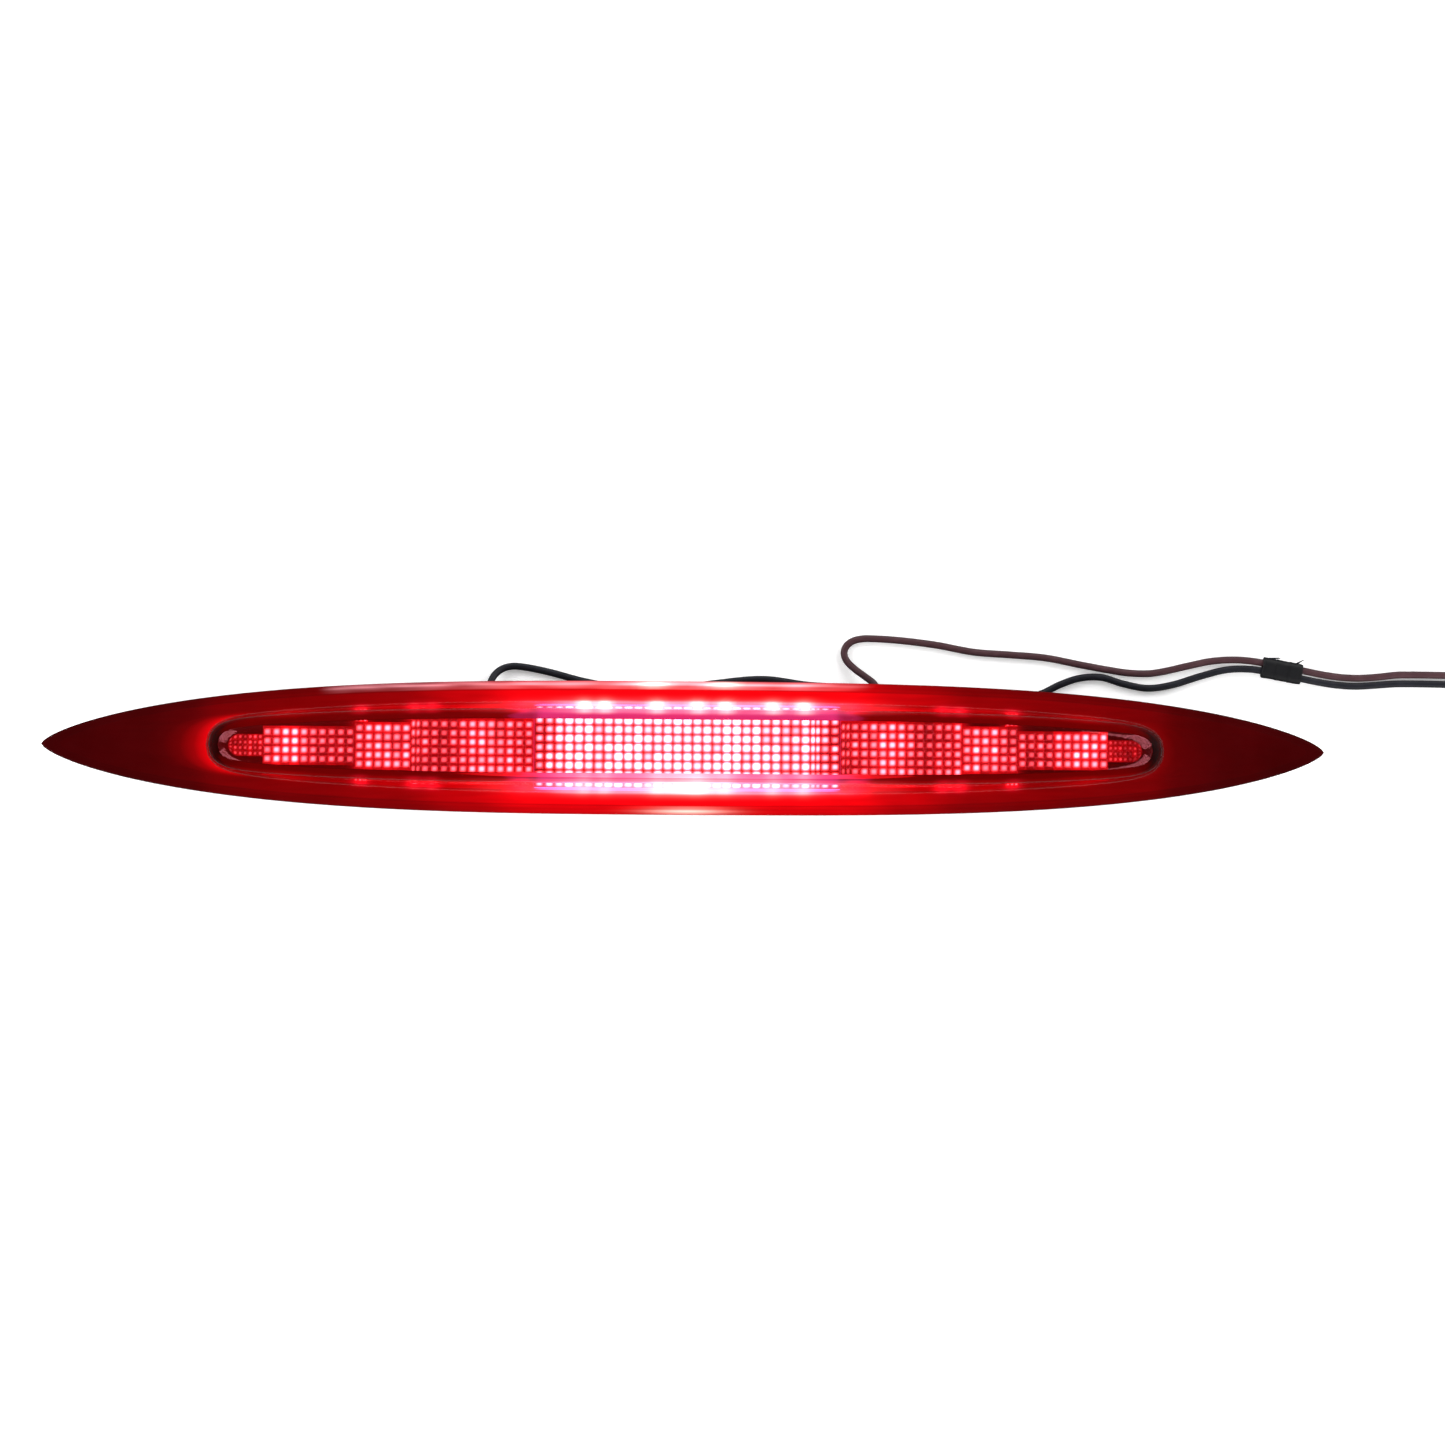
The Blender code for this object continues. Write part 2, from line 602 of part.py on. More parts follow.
def board_screws():
    head_low = BOARD_TOP + GAP
    head_high = head_low + SCREW_HEAD_HEIGHT
    tip = BOARD_UNDERSIDE - GAP - SCREW_DEPTH
    profile = [(0, head_high), (SCREW_FACE_RADIUS, head_high),
               (SCREW_HEAD_RADIUS, (head_low + head_high) / 2),
               (SCREW_HEAD_RADIUS, head_low), (SCREW_RADIUS, head_low),
               (SCREW_RADIUS, tip + SCREW_RADIUS), (0, tip)]
    for number, x in enumerate(SCREW_PLACES, 1):
        smooth(turned(f"board_screw_{number}", profile, STEEL, (x, 0, 0)))


def led_mesh():
    bm = bmesh.new()
    box_into(bm, (LED_SIDE, LED_SIDE, LED_HEIGHT), (0, 0, LED_HEIGHT / 2))
    return mesh_from(bm, "led_body")


def leds():
    body = led_mesh()
    for number, x in enumerate(LED_PLACES, 1):
        made = add_mesh(f"led_{number}", body.copy(), LED_BODY)
        made.location = (x, 0, LED_UNDERSIDE)
        boolean(made, led_dome(number, x), "UNION")


def led_dome(number, x):
    """A flattened dome, sunk into the LED's body so that the two join."""
    bm = bmesh.new()
    place = Matrix.Translation((x, 0, LED_UNDERSIDE + LED_HEIGHT))
    flatten = Matrix.Diagonal((1, 1, LED_DOME_HEIGHT / LED_DOME_RADIUS, 1))
    bmesh.ops.create_uvsphere(bm, u_segments=14, v_segments=8, radius=LED_DOME_RADIUS,
                              matrix=place @ flatten)
    return cutter(f"led_dome_{number}", bm)


def board_parts():
    for number, x in enumerate(RESISTOR_PLACES, 1):
        middle = (x, BOARD_PART_OFFSET, LED_UNDERSIDE + RESISTOR_SIZE[2] / 2)
        box(f"resistor_{number}", RESISTOR_SIZE, middle, CERAMIC)
    middle = (DIODE_PLACE, BOARD_PART_OFFSET, LED_UNDERSIDE + DIODE_SIZE[2] / 2)
    made = box("diode", DIODE_SIZE, middle, BLACK_PLASTIC)
    bevel(made, 0.08 * DIODE_SIZE[2], 1)


def reflector_tray():
    foot = BOARD_TOP + GAP
    rim = FLANGE_UNDERSIDE
    rings = [window_ring(TRAY_INNER_INSET, TRAY_PLATE_TOP), window_ring(TRAY_INNER_INSET, rim),
             window_ring(TRAY_OUTER_INSET, rim), window_ring(TRAY_OUTER_INSET, foot),
             window_ring(TRAY_INNER_INSET, foot), window_ring(TRAY_INNER_INSET, TRAY_PLATE_UNDERSIDE)]
    made = loft("reflector_tray", rings, DARK_TRAY, cap_after=len(rings) - 1)
    bm = bmesh.new()
    for x in LED_PLACES:
        cylinder_into(bm, LED_WINDOW_RADIUS, 4 * TRAY_PLATE, (x, 0, TRAY_PLATE_TOP))
    boolean(made, cutter("led_windows", bm))


def strip_half_width(end):
    """Half width of as many whole pillow rows as fit in the tray along a stretch up to end."""
    rows = math.floor(2 * (inner_half_width(end) - STRIP_MARGIN) / PILLOW_PITCH)
    return rows * PILLOW_PITCH / 2 + STRIP_MARGIN


def side_optic_edge():
    """The far-side edge of the right optic, as (x, half width) from the middle outwards."""
    bracket = STRIP_START + BRACKET_LENGTH
    big_ear = STRIP_START + BIG_EAR_SHARE * (STRIP_END - STRIP_START)
    big_ear_end = big_ear + BIG_EAR_LENGTH
    small_ear = STRIP_START + SMALL_EAR_SHARE * (STRIP_END - STRIP_START)
    small_ear_end = small_ear + SMALL_EAR_LENGTH
    steps = ((STRIP_START, bracket, inner_half_width(bracket)),
             (bracket, big_ear, strip_half_width(big_ear)),
             (big_ear, big_ear_end, inner_half_width(big_ear_end)),
             (big_ear_end, small_ear, strip_half_width(small_ear)),
             (small_ear, small_ear_end, inner_half_width(small_ear_end)),
             (small_ear_end, STRIP_END, strip_half_width(STRIP_END)))
    edge = []
    for low, high, half in steps:
        edge += [(low, half), (high, half)]
    return edge + [(STRIP_END, NOSE_HALF_WIDTH)] + nose_arc()


def nose_arc():
    straight = STRIP_END + NOSE_LENGTH - NOSE_HALF_WIDTH
    turns = [math.radians(angle) for angle in (90, 60, 30)]
    return [(straight + NOSE_HALF_WIDTH * math.cos(turn), NOSE_HALF_WIDTH * math.sin(turn))
            for turn in turns]


def optics():
    top = OPTIC_UNDERSIDE + OPTIC_THICKNESS
    half = inner_half_width(CENTRE_OPTIC_HALF)
    centre = [(CENTRE_OPTIC_HALF, -half), (CENTRE_OPTIC_HALF, half),
              (-CENTRE_OPTIC_HALF, half), (-CENTRE_OPTIC_HALF, -half)]
    flat_plate("centre_optic", [centre], OPTIC_UNDERSIDE, top, CLEAR_OPTIC)
    far_edge = side_optic_edge()
    near_edge = [(x, -half_width) for x, half_width in reversed(far_edge)]
    tip = [(STRIP_END + NOSE_LENGTH, 0)]
    right = far_edge + tip + near_edge
    left = [(-x, y) for x, y in right]
    flat_plate("right_optic", [right], OPTIC_UNDERSIDE, top, CLEAR_OPTIC)
    flat_plate("left_optic", [left], OPTIC_UNDERSIDE, top, CLEAR_OPTIC)


# ---------------------------------------------------------------- leads

def smooth_route(route, spacing):
    """Evenly spaced points on a smooth curve through the route's own points."""
    points = [Vector(point) for point in route]
    padded = [2 * points[0] - points[1]] + points + [2 * points[-1] - points[-2]]
    fine = []
    for before, start, end, after in zip(padded, padded[1:], padded[2:], padded[3:]):
        span = (end - start).length
        leave = (end - before) * span / ((start - before).length + span)
        arrive = (after - start) * span / ((after - end).length + span)
        for i in range(ROUTE_PIECES):
            t = i / ROUTE_PIECES
            fine.append((2 * t ** 3 - 3 * t ** 2 + 1) * start + (t ** 3 - 2 * t ** 2 + t) * leave
                        + (3 * t ** 2 - 2 * t ** 3) * end + (t ** 3 - t ** 2) * arrive)
    fine.append(points[-1])
    travelled = [0.0]
    for start, end in zip(fine, fine[1:]):
        travelled.append(travelled[-1] + (end - start).length)
    count = math.ceil(travelled[-1] / spacing)
    even = []
    passed = 0
    for i in range(count + 1):
        wanted = travelled[-1] * i / count
        while passed < len(fine) - 2 and travelled[passed + 1] < wanted:
            passed += 1
        share = (wanted - travelled[passed]) / (travelled[passed + 1] - travelled[passed])
        even.append(fine[passed].lerp(fine[passed + 1], share))
    return even


def wire(name, route, finish):
    curve = bpy.data.curves.new(name, "CURVE")
    curve.dimensions = "3D"
    curve.bevel_depth = WIRE_DIAMETER / 2
    curve.bevel_resolution = 2
    curve.use_fill_caps = True
    points = smooth_route(route, WIRE_POINT_SPACING)
    spline = curve.splines.new("POLY")
    spline.points.add(len(points) - 1)
    for target, point in zip(spline.points, points):
        target.co = (*point, 1)
    made = bpy.data.objects.new(name, curve)
    LAMP.objects.link(made)
    curve.materials.append(finish)


def grommet(name, route):
    """A rubber grommet in the housing's wall, with a tapered tail round the lead."""
    x, y, z = route[0]
    outside = outline_half_width(x) - FOOT_INSET
    flange_low = GAP
    flange_high = flange_low + GROMMET_FLANGE
    tail_end = flange_high + GROMMET_TAIL
    inside = -HOUSING_WALL - GROMMET_INSIDE
    bore = WIRE_BORE_RADIUS
    profile = [(bore, tail_end), (GROMMET_TAIL_RADIUS, tail_end),
               (GROMMET_BARREL_RADIUS, flange_high), (GROMMET_FLANGE_RADIUS, flange_high),
               (GROMMET_FLANGE_RADIUS, flange_low), (GROMMET_BARREL_RADIUS, flange_low),
               (GROMMET_BARREL_RADIUS, inside), (bore, inside)]
    smooth(turned(name, profile, BLACK_RUBBER, (x, outside, z), (-math.pi / 2, 0, 0), closed=True))


def stadium(half_span, radius, arc_steps=6):
    """Closed outline of (x, y) points: two half circles, half_span either side of the middle."""
    points = []
    for side, start in ((1, -90), (-1, 90)):
        for i in range(arc_steps + 1):
            turn = math.radians(start + 180 * i / arc_steps)
            points.append((side * half_span + radius * math.cos(turn), radius * math.sin(turn)))
    return points


def tape_wrap():
    """A sleeve of tape round both leads, and the two corners that stand up from its far side."""
    half_span = (WIRE_DIAMETER + GAP) / 2
    outside = WIRE_BORE_RADIUS + WRAP_THICKNESS
    sleeve = flat_plate("tape_wrap", [stadium(half_span, outside), stadium(half_span, WIRE_BORE_RADIUS)],
                        -WRAP_LENGTH / 2, WRAP_LENGTH / 2, BLACK_TAPE)
    sleeve.location = WRAP_MIDDLE
    sleeve.rotation_euler = (math.pi / 2, 0, math.pi / 2 + WRAP_TURN)
    place = Matrix.Translation(WRAP_MIDDLE) @ Matrix.Rotation(WRAP_TURN, 4, "Z")
    for number, (start, lift, size) in enumerate(WRAP_CORNERS, 1):
        root = place @ Matrix.Translation((start, half_span + outside - WRAP_SINK, 0))
        corner = root @ Matrix.Rotation(lift, 4, "Z") @ Matrix.Translation((size[0] / 2, 0, 0))
        bm = bmesh.new()
        bmesh.ops.create_cube(bm, size=1.0, matrix=corner @ Matrix.Diagonal((*size, 1)))
        boolean(sleeve, cutter(f"wrap_corner_{number}", bm), "UNION")


# ---------------------------------------------------------------- connector

def connector_place():
    """Middle of the connector's back face, worked out from where the two leads end."""
    brown, black = Vector(BROWN_ROUTE[-1]), Vector(BLACK_ROUTE[-1])
    middle = (brown + black) / 2
    return Vector((middle.x - WIRE_INSERTION, middle.y, middle.z))


def connector_housing():
    """A block with two rails on top; each rail has a lip over the sliding lock."""
    back = connector_place()
    low, top = -back.z, CONNECTOR_HEIGHT - back.z
    rail_top = top + RAIL_HEIGHT
    outer, inner = RAIL_HALF_SPAN + RAIL_WALL, RAIL_HALF_SPAN
    lip = RAIL_HALF_SPAN - RAIL_LIP
    side = CONNECTOR_WIDTH / 2
    right = [(side, low), (side, top), (outer, top), (outer, rail_top), (lip, rail_top),
             (lip, rail_top - RAIL_LIP), (inner, rail_top - RAIL_LIP), (inner, top)]
    section = right + [(-y, z) for y, z in reversed(right)]
    made = flat_plate("connector_housing", [section], 0, CONNECTOR_LENGTH, GREY_PLASTIC)
    made.location = back + Vector((CONNECTOR_LENGTH / 2, 0, 0))
    made.rotation_euler = (math.pi / 2, 0, math.pi / 2)
    boolean(made, lock_stop(back, top), "UNION")
    boolean(made, terminal_cavities(back))
    boolean(made, seal_bores(back))


def lock_stop(back, top):
    """The wall across the rails that the lock comes up against."""
    travel_end = LOCK_REST + LOCK_LENGTH + LOCK_TRAVEL + LOCK_CLEARANCE
    depth = RAIL_WALL
    sink = 0.5 * RAIL_LIP
    height = RAIL_HEIGHT - RAIL_LIP + sink
    bm = bmesh.new()
    box_into(bm, (depth, 2 * RAIL_HALF_SPAN + RAIL_WALL, height),
             back + Vector((travel_end + depth / 2, 0, top - sink + height / 2)))
    return cutter("lock_stop", bm)


def terminal_cavities(back):
    """A rectangular cavity for each terminal, right through the connector."""
    bm = bmesh.new()
    size = (2 * CONNECTOR_LENGTH, TERMINAL_SIZE[1] + 2 * CAVITY_MARGIN,
            TERMINAL_SIZE[2] + 2 * CAVITY_MARGIN)
    for route in (BROWN_ROUTE, BLACK_ROUTE):
        end = Vector(route[-1])
        box_into(bm, size, Vector((back.x + CONNECTOR_LENGTH / 2, end.y, end.z)))
    return cutter("terminal_cavities", bm)


def seal_bores(back):
    """A round bore for each lead and its seal, as deep as the lead goes in."""
    bm = bmesh.new()
    along_x = Matrix.Rotation(math.pi / 2, 4, "Y")
    for route in (BROWN_ROUTE, BLACK_ROUTE):
        end = Vector(route[-1])
        cylinder_into(bm, SEAL_BORE_RADIUS, 2 * (WIRE_INSERTION + GAP),
                      Vector((back.x, end.y, end.z)), along_x)
    return cutter("seal_bores", bm)


def terminals_and_seals():
    back = connector_place()
    length, width, height = TERMINAL_SIZE
    for name, route in (("brown", BROWN_ROUTE), ("black", BLACK_ROUTE)):
        end = Vector(route[-1])
        made = box(f"terminal_{name}", TERMINAL_SIZE, end + Vector((GAP + length / 2, 0, 0)), TIN)
        bevel(made, 0.12 * height, 1)
        wire_seal(f"wire_seal_{name}", Vector((back.x + GAP, end.y, end.z)))


def wire_seal(name, mouth):
    """A ribbed silicone seal round the lead, inside the connector's back."""
    rib = SEAL_BORE_RADIUS - GAP
    waist = (rib + WIRE_BORE_RADIUS) / 2
    pitch = WIRE_SEAL_LENGTH / (2 * WIRE_SEAL_RIBS - 1)
    outer = []
    for i in range(2 * WIRE_SEAL_RIBS - 1):
        radius = rib if i % 2 == 0 else waist
        outer += [(radius, WIRE_SEAL_LENGTH - i * pitch), (radius, WIRE_SEAL_LENGTH - (i + 1) * pitch)]
    profile = [(WIRE_BORE_RADIUS, WIRE_SEAL_LENGTH)] + outer + [(WIRE_BORE_RADIUS, 0)]
    turned(name, profile, SILICONE, mouth, (0, math.pi / 2, 0), closed=True, steps=16)


def connector_lock():
    """The sliding lock: a foot under the rails' lips and a narrower top with finger grips."""
    back = connector_place()
    foot_half = RAIL_HALF_SPAN - LOCK_CLEARANCE
    top_half = RAIL_HALF_SPAN - RAIL_LIP - LOCK_CLEARANCE
    foot_height = RAIL_HEIGHT - RAIL_LIP - 2 * LOCK_CLEARANCE
    top_height = RAIL_HEIGHT
    section = [(foot_half, 0), (foot_half, foot_height), (top_half, foot_height), (top_half, top_height),
               (-top_half, top_height), (-top_half, foot_height), (-foot_half, foot_height),
               (-foot_half, 0)]
    made = flat_plate("connector_lock", [section], -LOCK_LENGTH / 2, LOCK_LENGTH / 2, LOCK_PLASTIC)
    made.location = (back.x + LOCK_REST + LOCK_LENGTH / 2, back.y, CONNECTOR_HEIGHT + LOCK_CLEARANCE)
    made.rotation_euler = (math.pi / 2, 0, math.pi / 2)
    bm = bmesh.new()
    grip = LOCK_LENGTH / (2 * LOCK_GRIPS + 1)
    for i in range(LOCK_GRIPS):
        x = made.location.x + (i - (LOCK_GRIPS - 1) / 2) * 2 * grip
        middle = (x, back.y, made.location.z + top_height)
        box_into(bm, (grip, 2 * top_half + RAIL_WALL, 0.5 * grip), middle)
    boolean(made, cutter("lock_grooves", bm))


def build():
    outer_lens()
    body_gasket()
    lens_seal()
    rear_housing()
    threaded_inserts()
    breather_vent()
    led_board()
    board_screws()
    leds()
    board_parts()
    reflector_tray()
    optics()
    wire("brown_wire", BROWN_ROUTE, BROWN_PVC)
    wire("black_wire", BLACK_ROUTE, BLACK_PVC)
    grommet("wire_grommet_brown", BROWN_ROUTE)
    grommet("wire_grommet_black", BLACK_ROUTE)
    tape_wrap()
    connector_housing()
    terminals_and_seals()
    connector_lock()


build()
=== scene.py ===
"""Looks of the third brake light: a lit LED stop lamp on its back, with its two leads.

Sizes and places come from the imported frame. X runs along the lamp, Y across it, Z up, in metres.
"""

import math
import random

import bmesh
import bpy
from mathutils import Matrix, Vector, noise


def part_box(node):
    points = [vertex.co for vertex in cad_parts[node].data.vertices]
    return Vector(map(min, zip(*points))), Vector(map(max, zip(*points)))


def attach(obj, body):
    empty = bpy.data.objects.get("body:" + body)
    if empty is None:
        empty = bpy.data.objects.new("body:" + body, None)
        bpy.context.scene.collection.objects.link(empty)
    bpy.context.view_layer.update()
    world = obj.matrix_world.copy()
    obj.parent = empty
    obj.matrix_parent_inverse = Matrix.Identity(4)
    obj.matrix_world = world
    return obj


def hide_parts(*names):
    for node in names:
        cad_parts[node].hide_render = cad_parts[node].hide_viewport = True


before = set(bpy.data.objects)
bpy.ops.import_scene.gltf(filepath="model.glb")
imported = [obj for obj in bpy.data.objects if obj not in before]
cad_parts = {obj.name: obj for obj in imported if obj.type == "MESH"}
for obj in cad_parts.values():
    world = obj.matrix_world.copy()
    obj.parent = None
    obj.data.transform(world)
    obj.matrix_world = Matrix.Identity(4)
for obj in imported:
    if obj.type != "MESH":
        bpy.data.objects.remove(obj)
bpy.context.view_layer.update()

ROOT = "lamp"
LOCK = "lock"

# ---------------------------------------------------------------- sizes read from the frame

LENS_LOW, LENS_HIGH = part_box("outer_lens")
HOUSING_LOW, HOUSING_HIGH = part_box("rear_housing")
GASKET_LOW, GASKET_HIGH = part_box("body_gasket")
TRAY_LOW, TRAY_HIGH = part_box("reflector_tray")
BOARD_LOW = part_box("led_board")[0]
CENTRE_LOW, CENTRE_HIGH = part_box("centre_optic")
RIGHT_LOW, RIGHT_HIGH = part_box("right_optic")
CONNECTOR_LOW, CONNECTOR_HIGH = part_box("connector_housing")
LOCK_LOW, LOCK_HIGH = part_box("connector_lock")

ALONG_X = Matrix.Rotation(math.pi / 2, 4, "Y")
ALONG_Y = Matrix.Rotation(math.pi / 2, 4, "X")


def box_and_middle(node):
    low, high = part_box(node)
    return low, high, (low + high) / 2


def middle_of(node):
    return box_and_middle(node)[2]


LED_COUNT = 10
SCREW_COUNT = 4
RESISTOR_COUNT = 3
LED_PLACES = [middle_of(f"led_{number}").x for number in range(1, LED_COUNT + 1)]

# Outline of the lens: the same spindle that the solids have
LENGTH = LENS_HIGH.x - LENS_LOW.x
WIDTH = LENS_HIGH.y - LENS_LOW.y
SPINDLE_POWER = 3.13
SPINDLE_BLUNTNESS = 0.684
TIP_STRETCH = 1.9
WINDOW_LENGTH = HOUSING_HIGH.x - HOUSING_LOW.x
FOOT_INSET = (WIDTH - (HOUSING_HIGH.y - HOUSING_LOW.y)) / 2
FLANGE_UNDERSIDE = LENS_LOW.z
LENS_WALL = 0.0022
FLANGE_TOP = FLANGE_UNDERSIDE + LENS_WALL
RIDGE_MIDDLE = 0.0080
RIDGE_END = 0.0022
WALL_LEAN = 0.36
CROWN_EDGE = 0.0010
CROWN_BULGE = 0.0012
GAP = 0.0003
FIT_GAP = 0.0004
HOUSING_WALL = 0.0020
TRAY_WALL = 0.0010
TRAY_PLATE = 0.0012
TRAY_INNER_INSET = (WIDTH - (TRAY_HIGH.y - TRAY_LOW.y)) / 2 + TRAY_WALL
PLATE_TOP = CENTRE_LOW.z - GAP

# Leads: the same routes that the solids follow
WIRE_DIAMETER = 0.0023
BROWN_ROUTE = (
    (0.0622, 0.0090, 0.0045), (0.0622, 0.0145, 0.0045), (0.0622, 0.0190, 0.0045),
    (0.0608, 0.0219, 0.0043), (0.0580, 0.0243, 0.0034), (0.0549, 0.0267, 0.0022),
    (0.0524, 0.0292, 0.0013), (0.0513, 0.0316, 0.0012), (0.0516, 0.0337, 0.0012),
    (0.0530, 0.0354, 0.0012), (0.0554, 0.0365, 0.0012), (0.0592, 0.0369, 0.0012),
    (0.0700, 0.0363, 0.0012), (0.0816, 0.0349, 0.0012), (0.0933, 0.0328, 0.0012),
    (0.1050, 0.0320, 0.0012), (0.1167, 0.0311, 0.0012), (0.1284, 0.0289, 0.0012),
    (0.1363, 0.0275, 0.0012), (0.1440, 0.0264, 0.0012), (0.1520, 0.0264, 0.0012),
    (0.1636, 0.0289, 0.0012), (0.1706, 0.0304, 0.0013), (0.1778, 0.0309, 0.0020),
    (0.1848, 0.0304, 0.0025), (0.1925, 0.0290, 0.0025), (0.2002, 0.0276, 0.0025),
    (0.2067, 0.0264, 0.0018), (0.2128, 0.0256, 0.0012), (0.2190, 0.0253, 0.0012),
    (0.2252, 0.0257, 0.0012), (0.2330, 0.0265, 0.0012), (0.2600, 0.0263, 0.0012),
    (0.2760, 0.0264, 0.0014), (0.2860, 0.0268, 0.0025), (0.2940, 0.0270, 0.0041),
    (0.3000, 0.0270, 0.0045), (0.3080, 0.0270, 0.0045),
)
BLACK_ROUTE = (
    (-0.0634, 0.0090, 0.0045), (-0.0634, 0.0145, 0.0045), (-0.0634, 0.0190, 0.0045),
    (-0.0628, 0.0218, 0.0041), (-0.0613, 0.0244, 0.0029), (-0.0585, 0.0264, 0.0016),
    (-0.0545, 0.0270, 0.0012), (-0.0450, 0.0254, 0.0012), (-0.0325, 0.0222, 0.0012),
    (-0.0180, 0.0199, 0.0012), (-0.0040, 0.0199, 0.0012), (0.0085, 0.0218, 0.0012),
    (0.0250, 0.0234, 0.0012), (0.0400, 0.0216, 0.0012), (0.0610, 0.0206, 0.0012),
    (0.0730, 0.0189, 0.0012), (0.0900, 0.0179, 0.0012), (0.1070, 0.0180, 0.0012),
    (0.1150, 0.0193, 0.0012), (0.1215, 0.0224, 0.0012), (0.1280, 0.0246, 0.0012),
    (0.1350, 0.0249, 0.0012), (0.1420, 0.0229, 0.0012), (0.1500, 0.0215, 0.0012),
    (0.1580, 0.0226, 0.0012), (0.1676, 0.0256, 0.0013), (0.1762, 0.0277, 0.0019),
    (0.1843, 0.0278, 0.0025), (0.1920, 0.0264, 0.0025), (0.1997, 0.0250, 0.0025),
    (0.2062, 0.0238, 0.0018), (0.2124, 0.0230, 0.0012), (0.2188, 0.0227, 0.0012),
    (0.2330, 0.0236, 0.0012), (0.2600, 0.0232, 0.0012), (0.2760, 0.0226, 0.0014),
    (0.2860, 0.0222, 0.0025), (0.2940, 0.0220, 0.0041), (0.3000, 0.0220, 0.0045),
    (0.3080, 0.0220, 0.0045),
)


# ---------------------------------------------------------------- camera

CAMERA_DISTANCE = 1.40
VIEW_WIDTH = 0.4613
VIEW_MIDDLE = Vector((0.0111, 0.0082, FLANGE_TOP))
LEAN_TO_NEAR_SIDE = math.radians(4.0)
LEAN_TO_LEFT = math.radians(3.0)
CAMERA_ROLL = math.radians(0.22)


def add_camera():
    """Nearly straight above the lens, leaning a little towards the near side and the left."""
    lens = bpy.data.cameras.new("camera")
    lens.angle = 2 * math.atan(VIEW_WIDTH / 2 / CAMERA_DISTANCE)
    lens.clip_start = 0.01
    camera = bpy.data.objects.new("camera", lens)
    bpy.context.scene.collection.objects.link(camera)
    away = Vector((-math.tan(LEAN_TO_LEFT), -math.tan(LEAN_TO_NEAR_SIDE), 1)).normalized()
    across = Vector((0, 1, 0)).cross(away).normalized()
    turn = Matrix((across, away.cross(across), away)).transposed().to_4x4()
    camera.matrix_world = (Matrix.Translation(VIEW_MIDDLE + CAMERA_DISTANCE * away) @ turn
                           @ Matrix.Rotation(CAMERA_ROLL, 4, "Z"))
    bpy.context.scene.camera = camera


add_camera()


# ---------------------------------------------------------------- making pieces

ROD_SIDES = 48


def piece(name, data, finishes, body=ROOT, stands_for=()):
    """A visible piece: it rides on a body, and may stand for CAD nodes."""
    made = bpy.data.objects.new(name, data)
    bpy.context.scene.collection.objects.link(made)
    for finish in finishes:
        data.materials.append(finish)
    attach(made, body)
    if stands_for:
        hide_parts(*stands_for)
    return made


def mesh_from(bm, name, sharp_angle=35.0):
    bmesh.ops.recalc_face_normals(bm, faces=bm.faces)
    mesh = bpy.data.meshes.new(name)
    bm.to_mesh(mesh)
    bm.free()
    mesh.shade_smooth()
    mesh.set_sharp_from_angle(angle=math.radians(sharp_angle))
    return mesh


def changed(mesh, kind, sharp_angle, **settings):
    """The mesh after one modifier, shaded smooth but for its sharp edges."""
    holder = bpy.data.objects.new("holder", mesh)
    bpy.context.scene.collection.objects.link(holder)
    change = holder.modifiers.new(kind.lower(), kind)
    for key, value in settings.items():
        setattr(change, key, value)
    bpy.context.view_layer.update()
    result = bpy.data.meshes.new_from_object(
        holder.evaluated_get(bpy.context.evaluated_depsgraph_get()))
    bpy.data.objects.remove(holder, do_unlink=True)
    result.shade_smooth()
    result.set_sharp_from_angle(angle=math.radians(sharp_angle))
    return result


def rounded(mesh, width, segments=3):
    """The mesh with its sharp edges rounded."""
    return changed(mesh, "BEVEL", 45, width=width, segments=segments,
                   limit_method="ANGLE", angle_limit=math.radians(40))


def combined(mesh, tool_mesh, operation="DIFFERENCE"):
    """The mesh cut by another, or joined with it."""
    tool = bpy.data.objects.new("tool", tool_mesh)
    bpy.context.scene.collection.objects.link(tool)
    result = changed(mesh, "BOOLEAN", 35, operation=operation, solver="EXACT", object=tool)
    bpy.data.objects.remove(tool, do_unlink=True)
    return result


def boxes(name, corners, place=Matrix.Identity(4)):
    """One mesh of boxes, each given as its low and high corner."""
    bm = bmesh.new()
    for low, high in corners:
        low, high = Vector(low), Vector(high)
        box = Matrix.Translation((low + high) / 2) @ Matrix.Diagonal((*(high - low), 1.0))
        bmesh.ops.create_cube(bm, size=1.0, matrix=place @ box)
    return mesh_from(bm, name)


def cylinders(name, rods):
    """One mesh of cylinders, each a radius, a length, a middle and a turn from upright."""
    bm = bmesh.new()
    for radius, length, middle, *turn in rods:
        place = Matrix.Translation(middle) @ (turn[0] if turn else Matrix.Identity(4))
        bmesh.ops.create_cone(bm, cap_ends=True, segments=ROD_SIDES, radius1=radius, radius2=radius,
                              depth=length, matrix=place)
    return mesh_from(bm, name)


def rows_into(bm, rings, closed=False):
    """Faces between rings of equal length, and from the last to the first if closed."""
    rows = [[bm.verts.new(point) for point in ring] for ring in rings]
    pairs = list(zip(rows, rows[1:]))
    if closed:
        pairs.append((rows[-1], rows[0]))
    for lower, upper in pairs:
        for i in range(len(lower)):
            j = (i + 1) % len(lower)
            bm.faces.new((lower[i], lower[j], upper[j], upper[i]))
    return rows


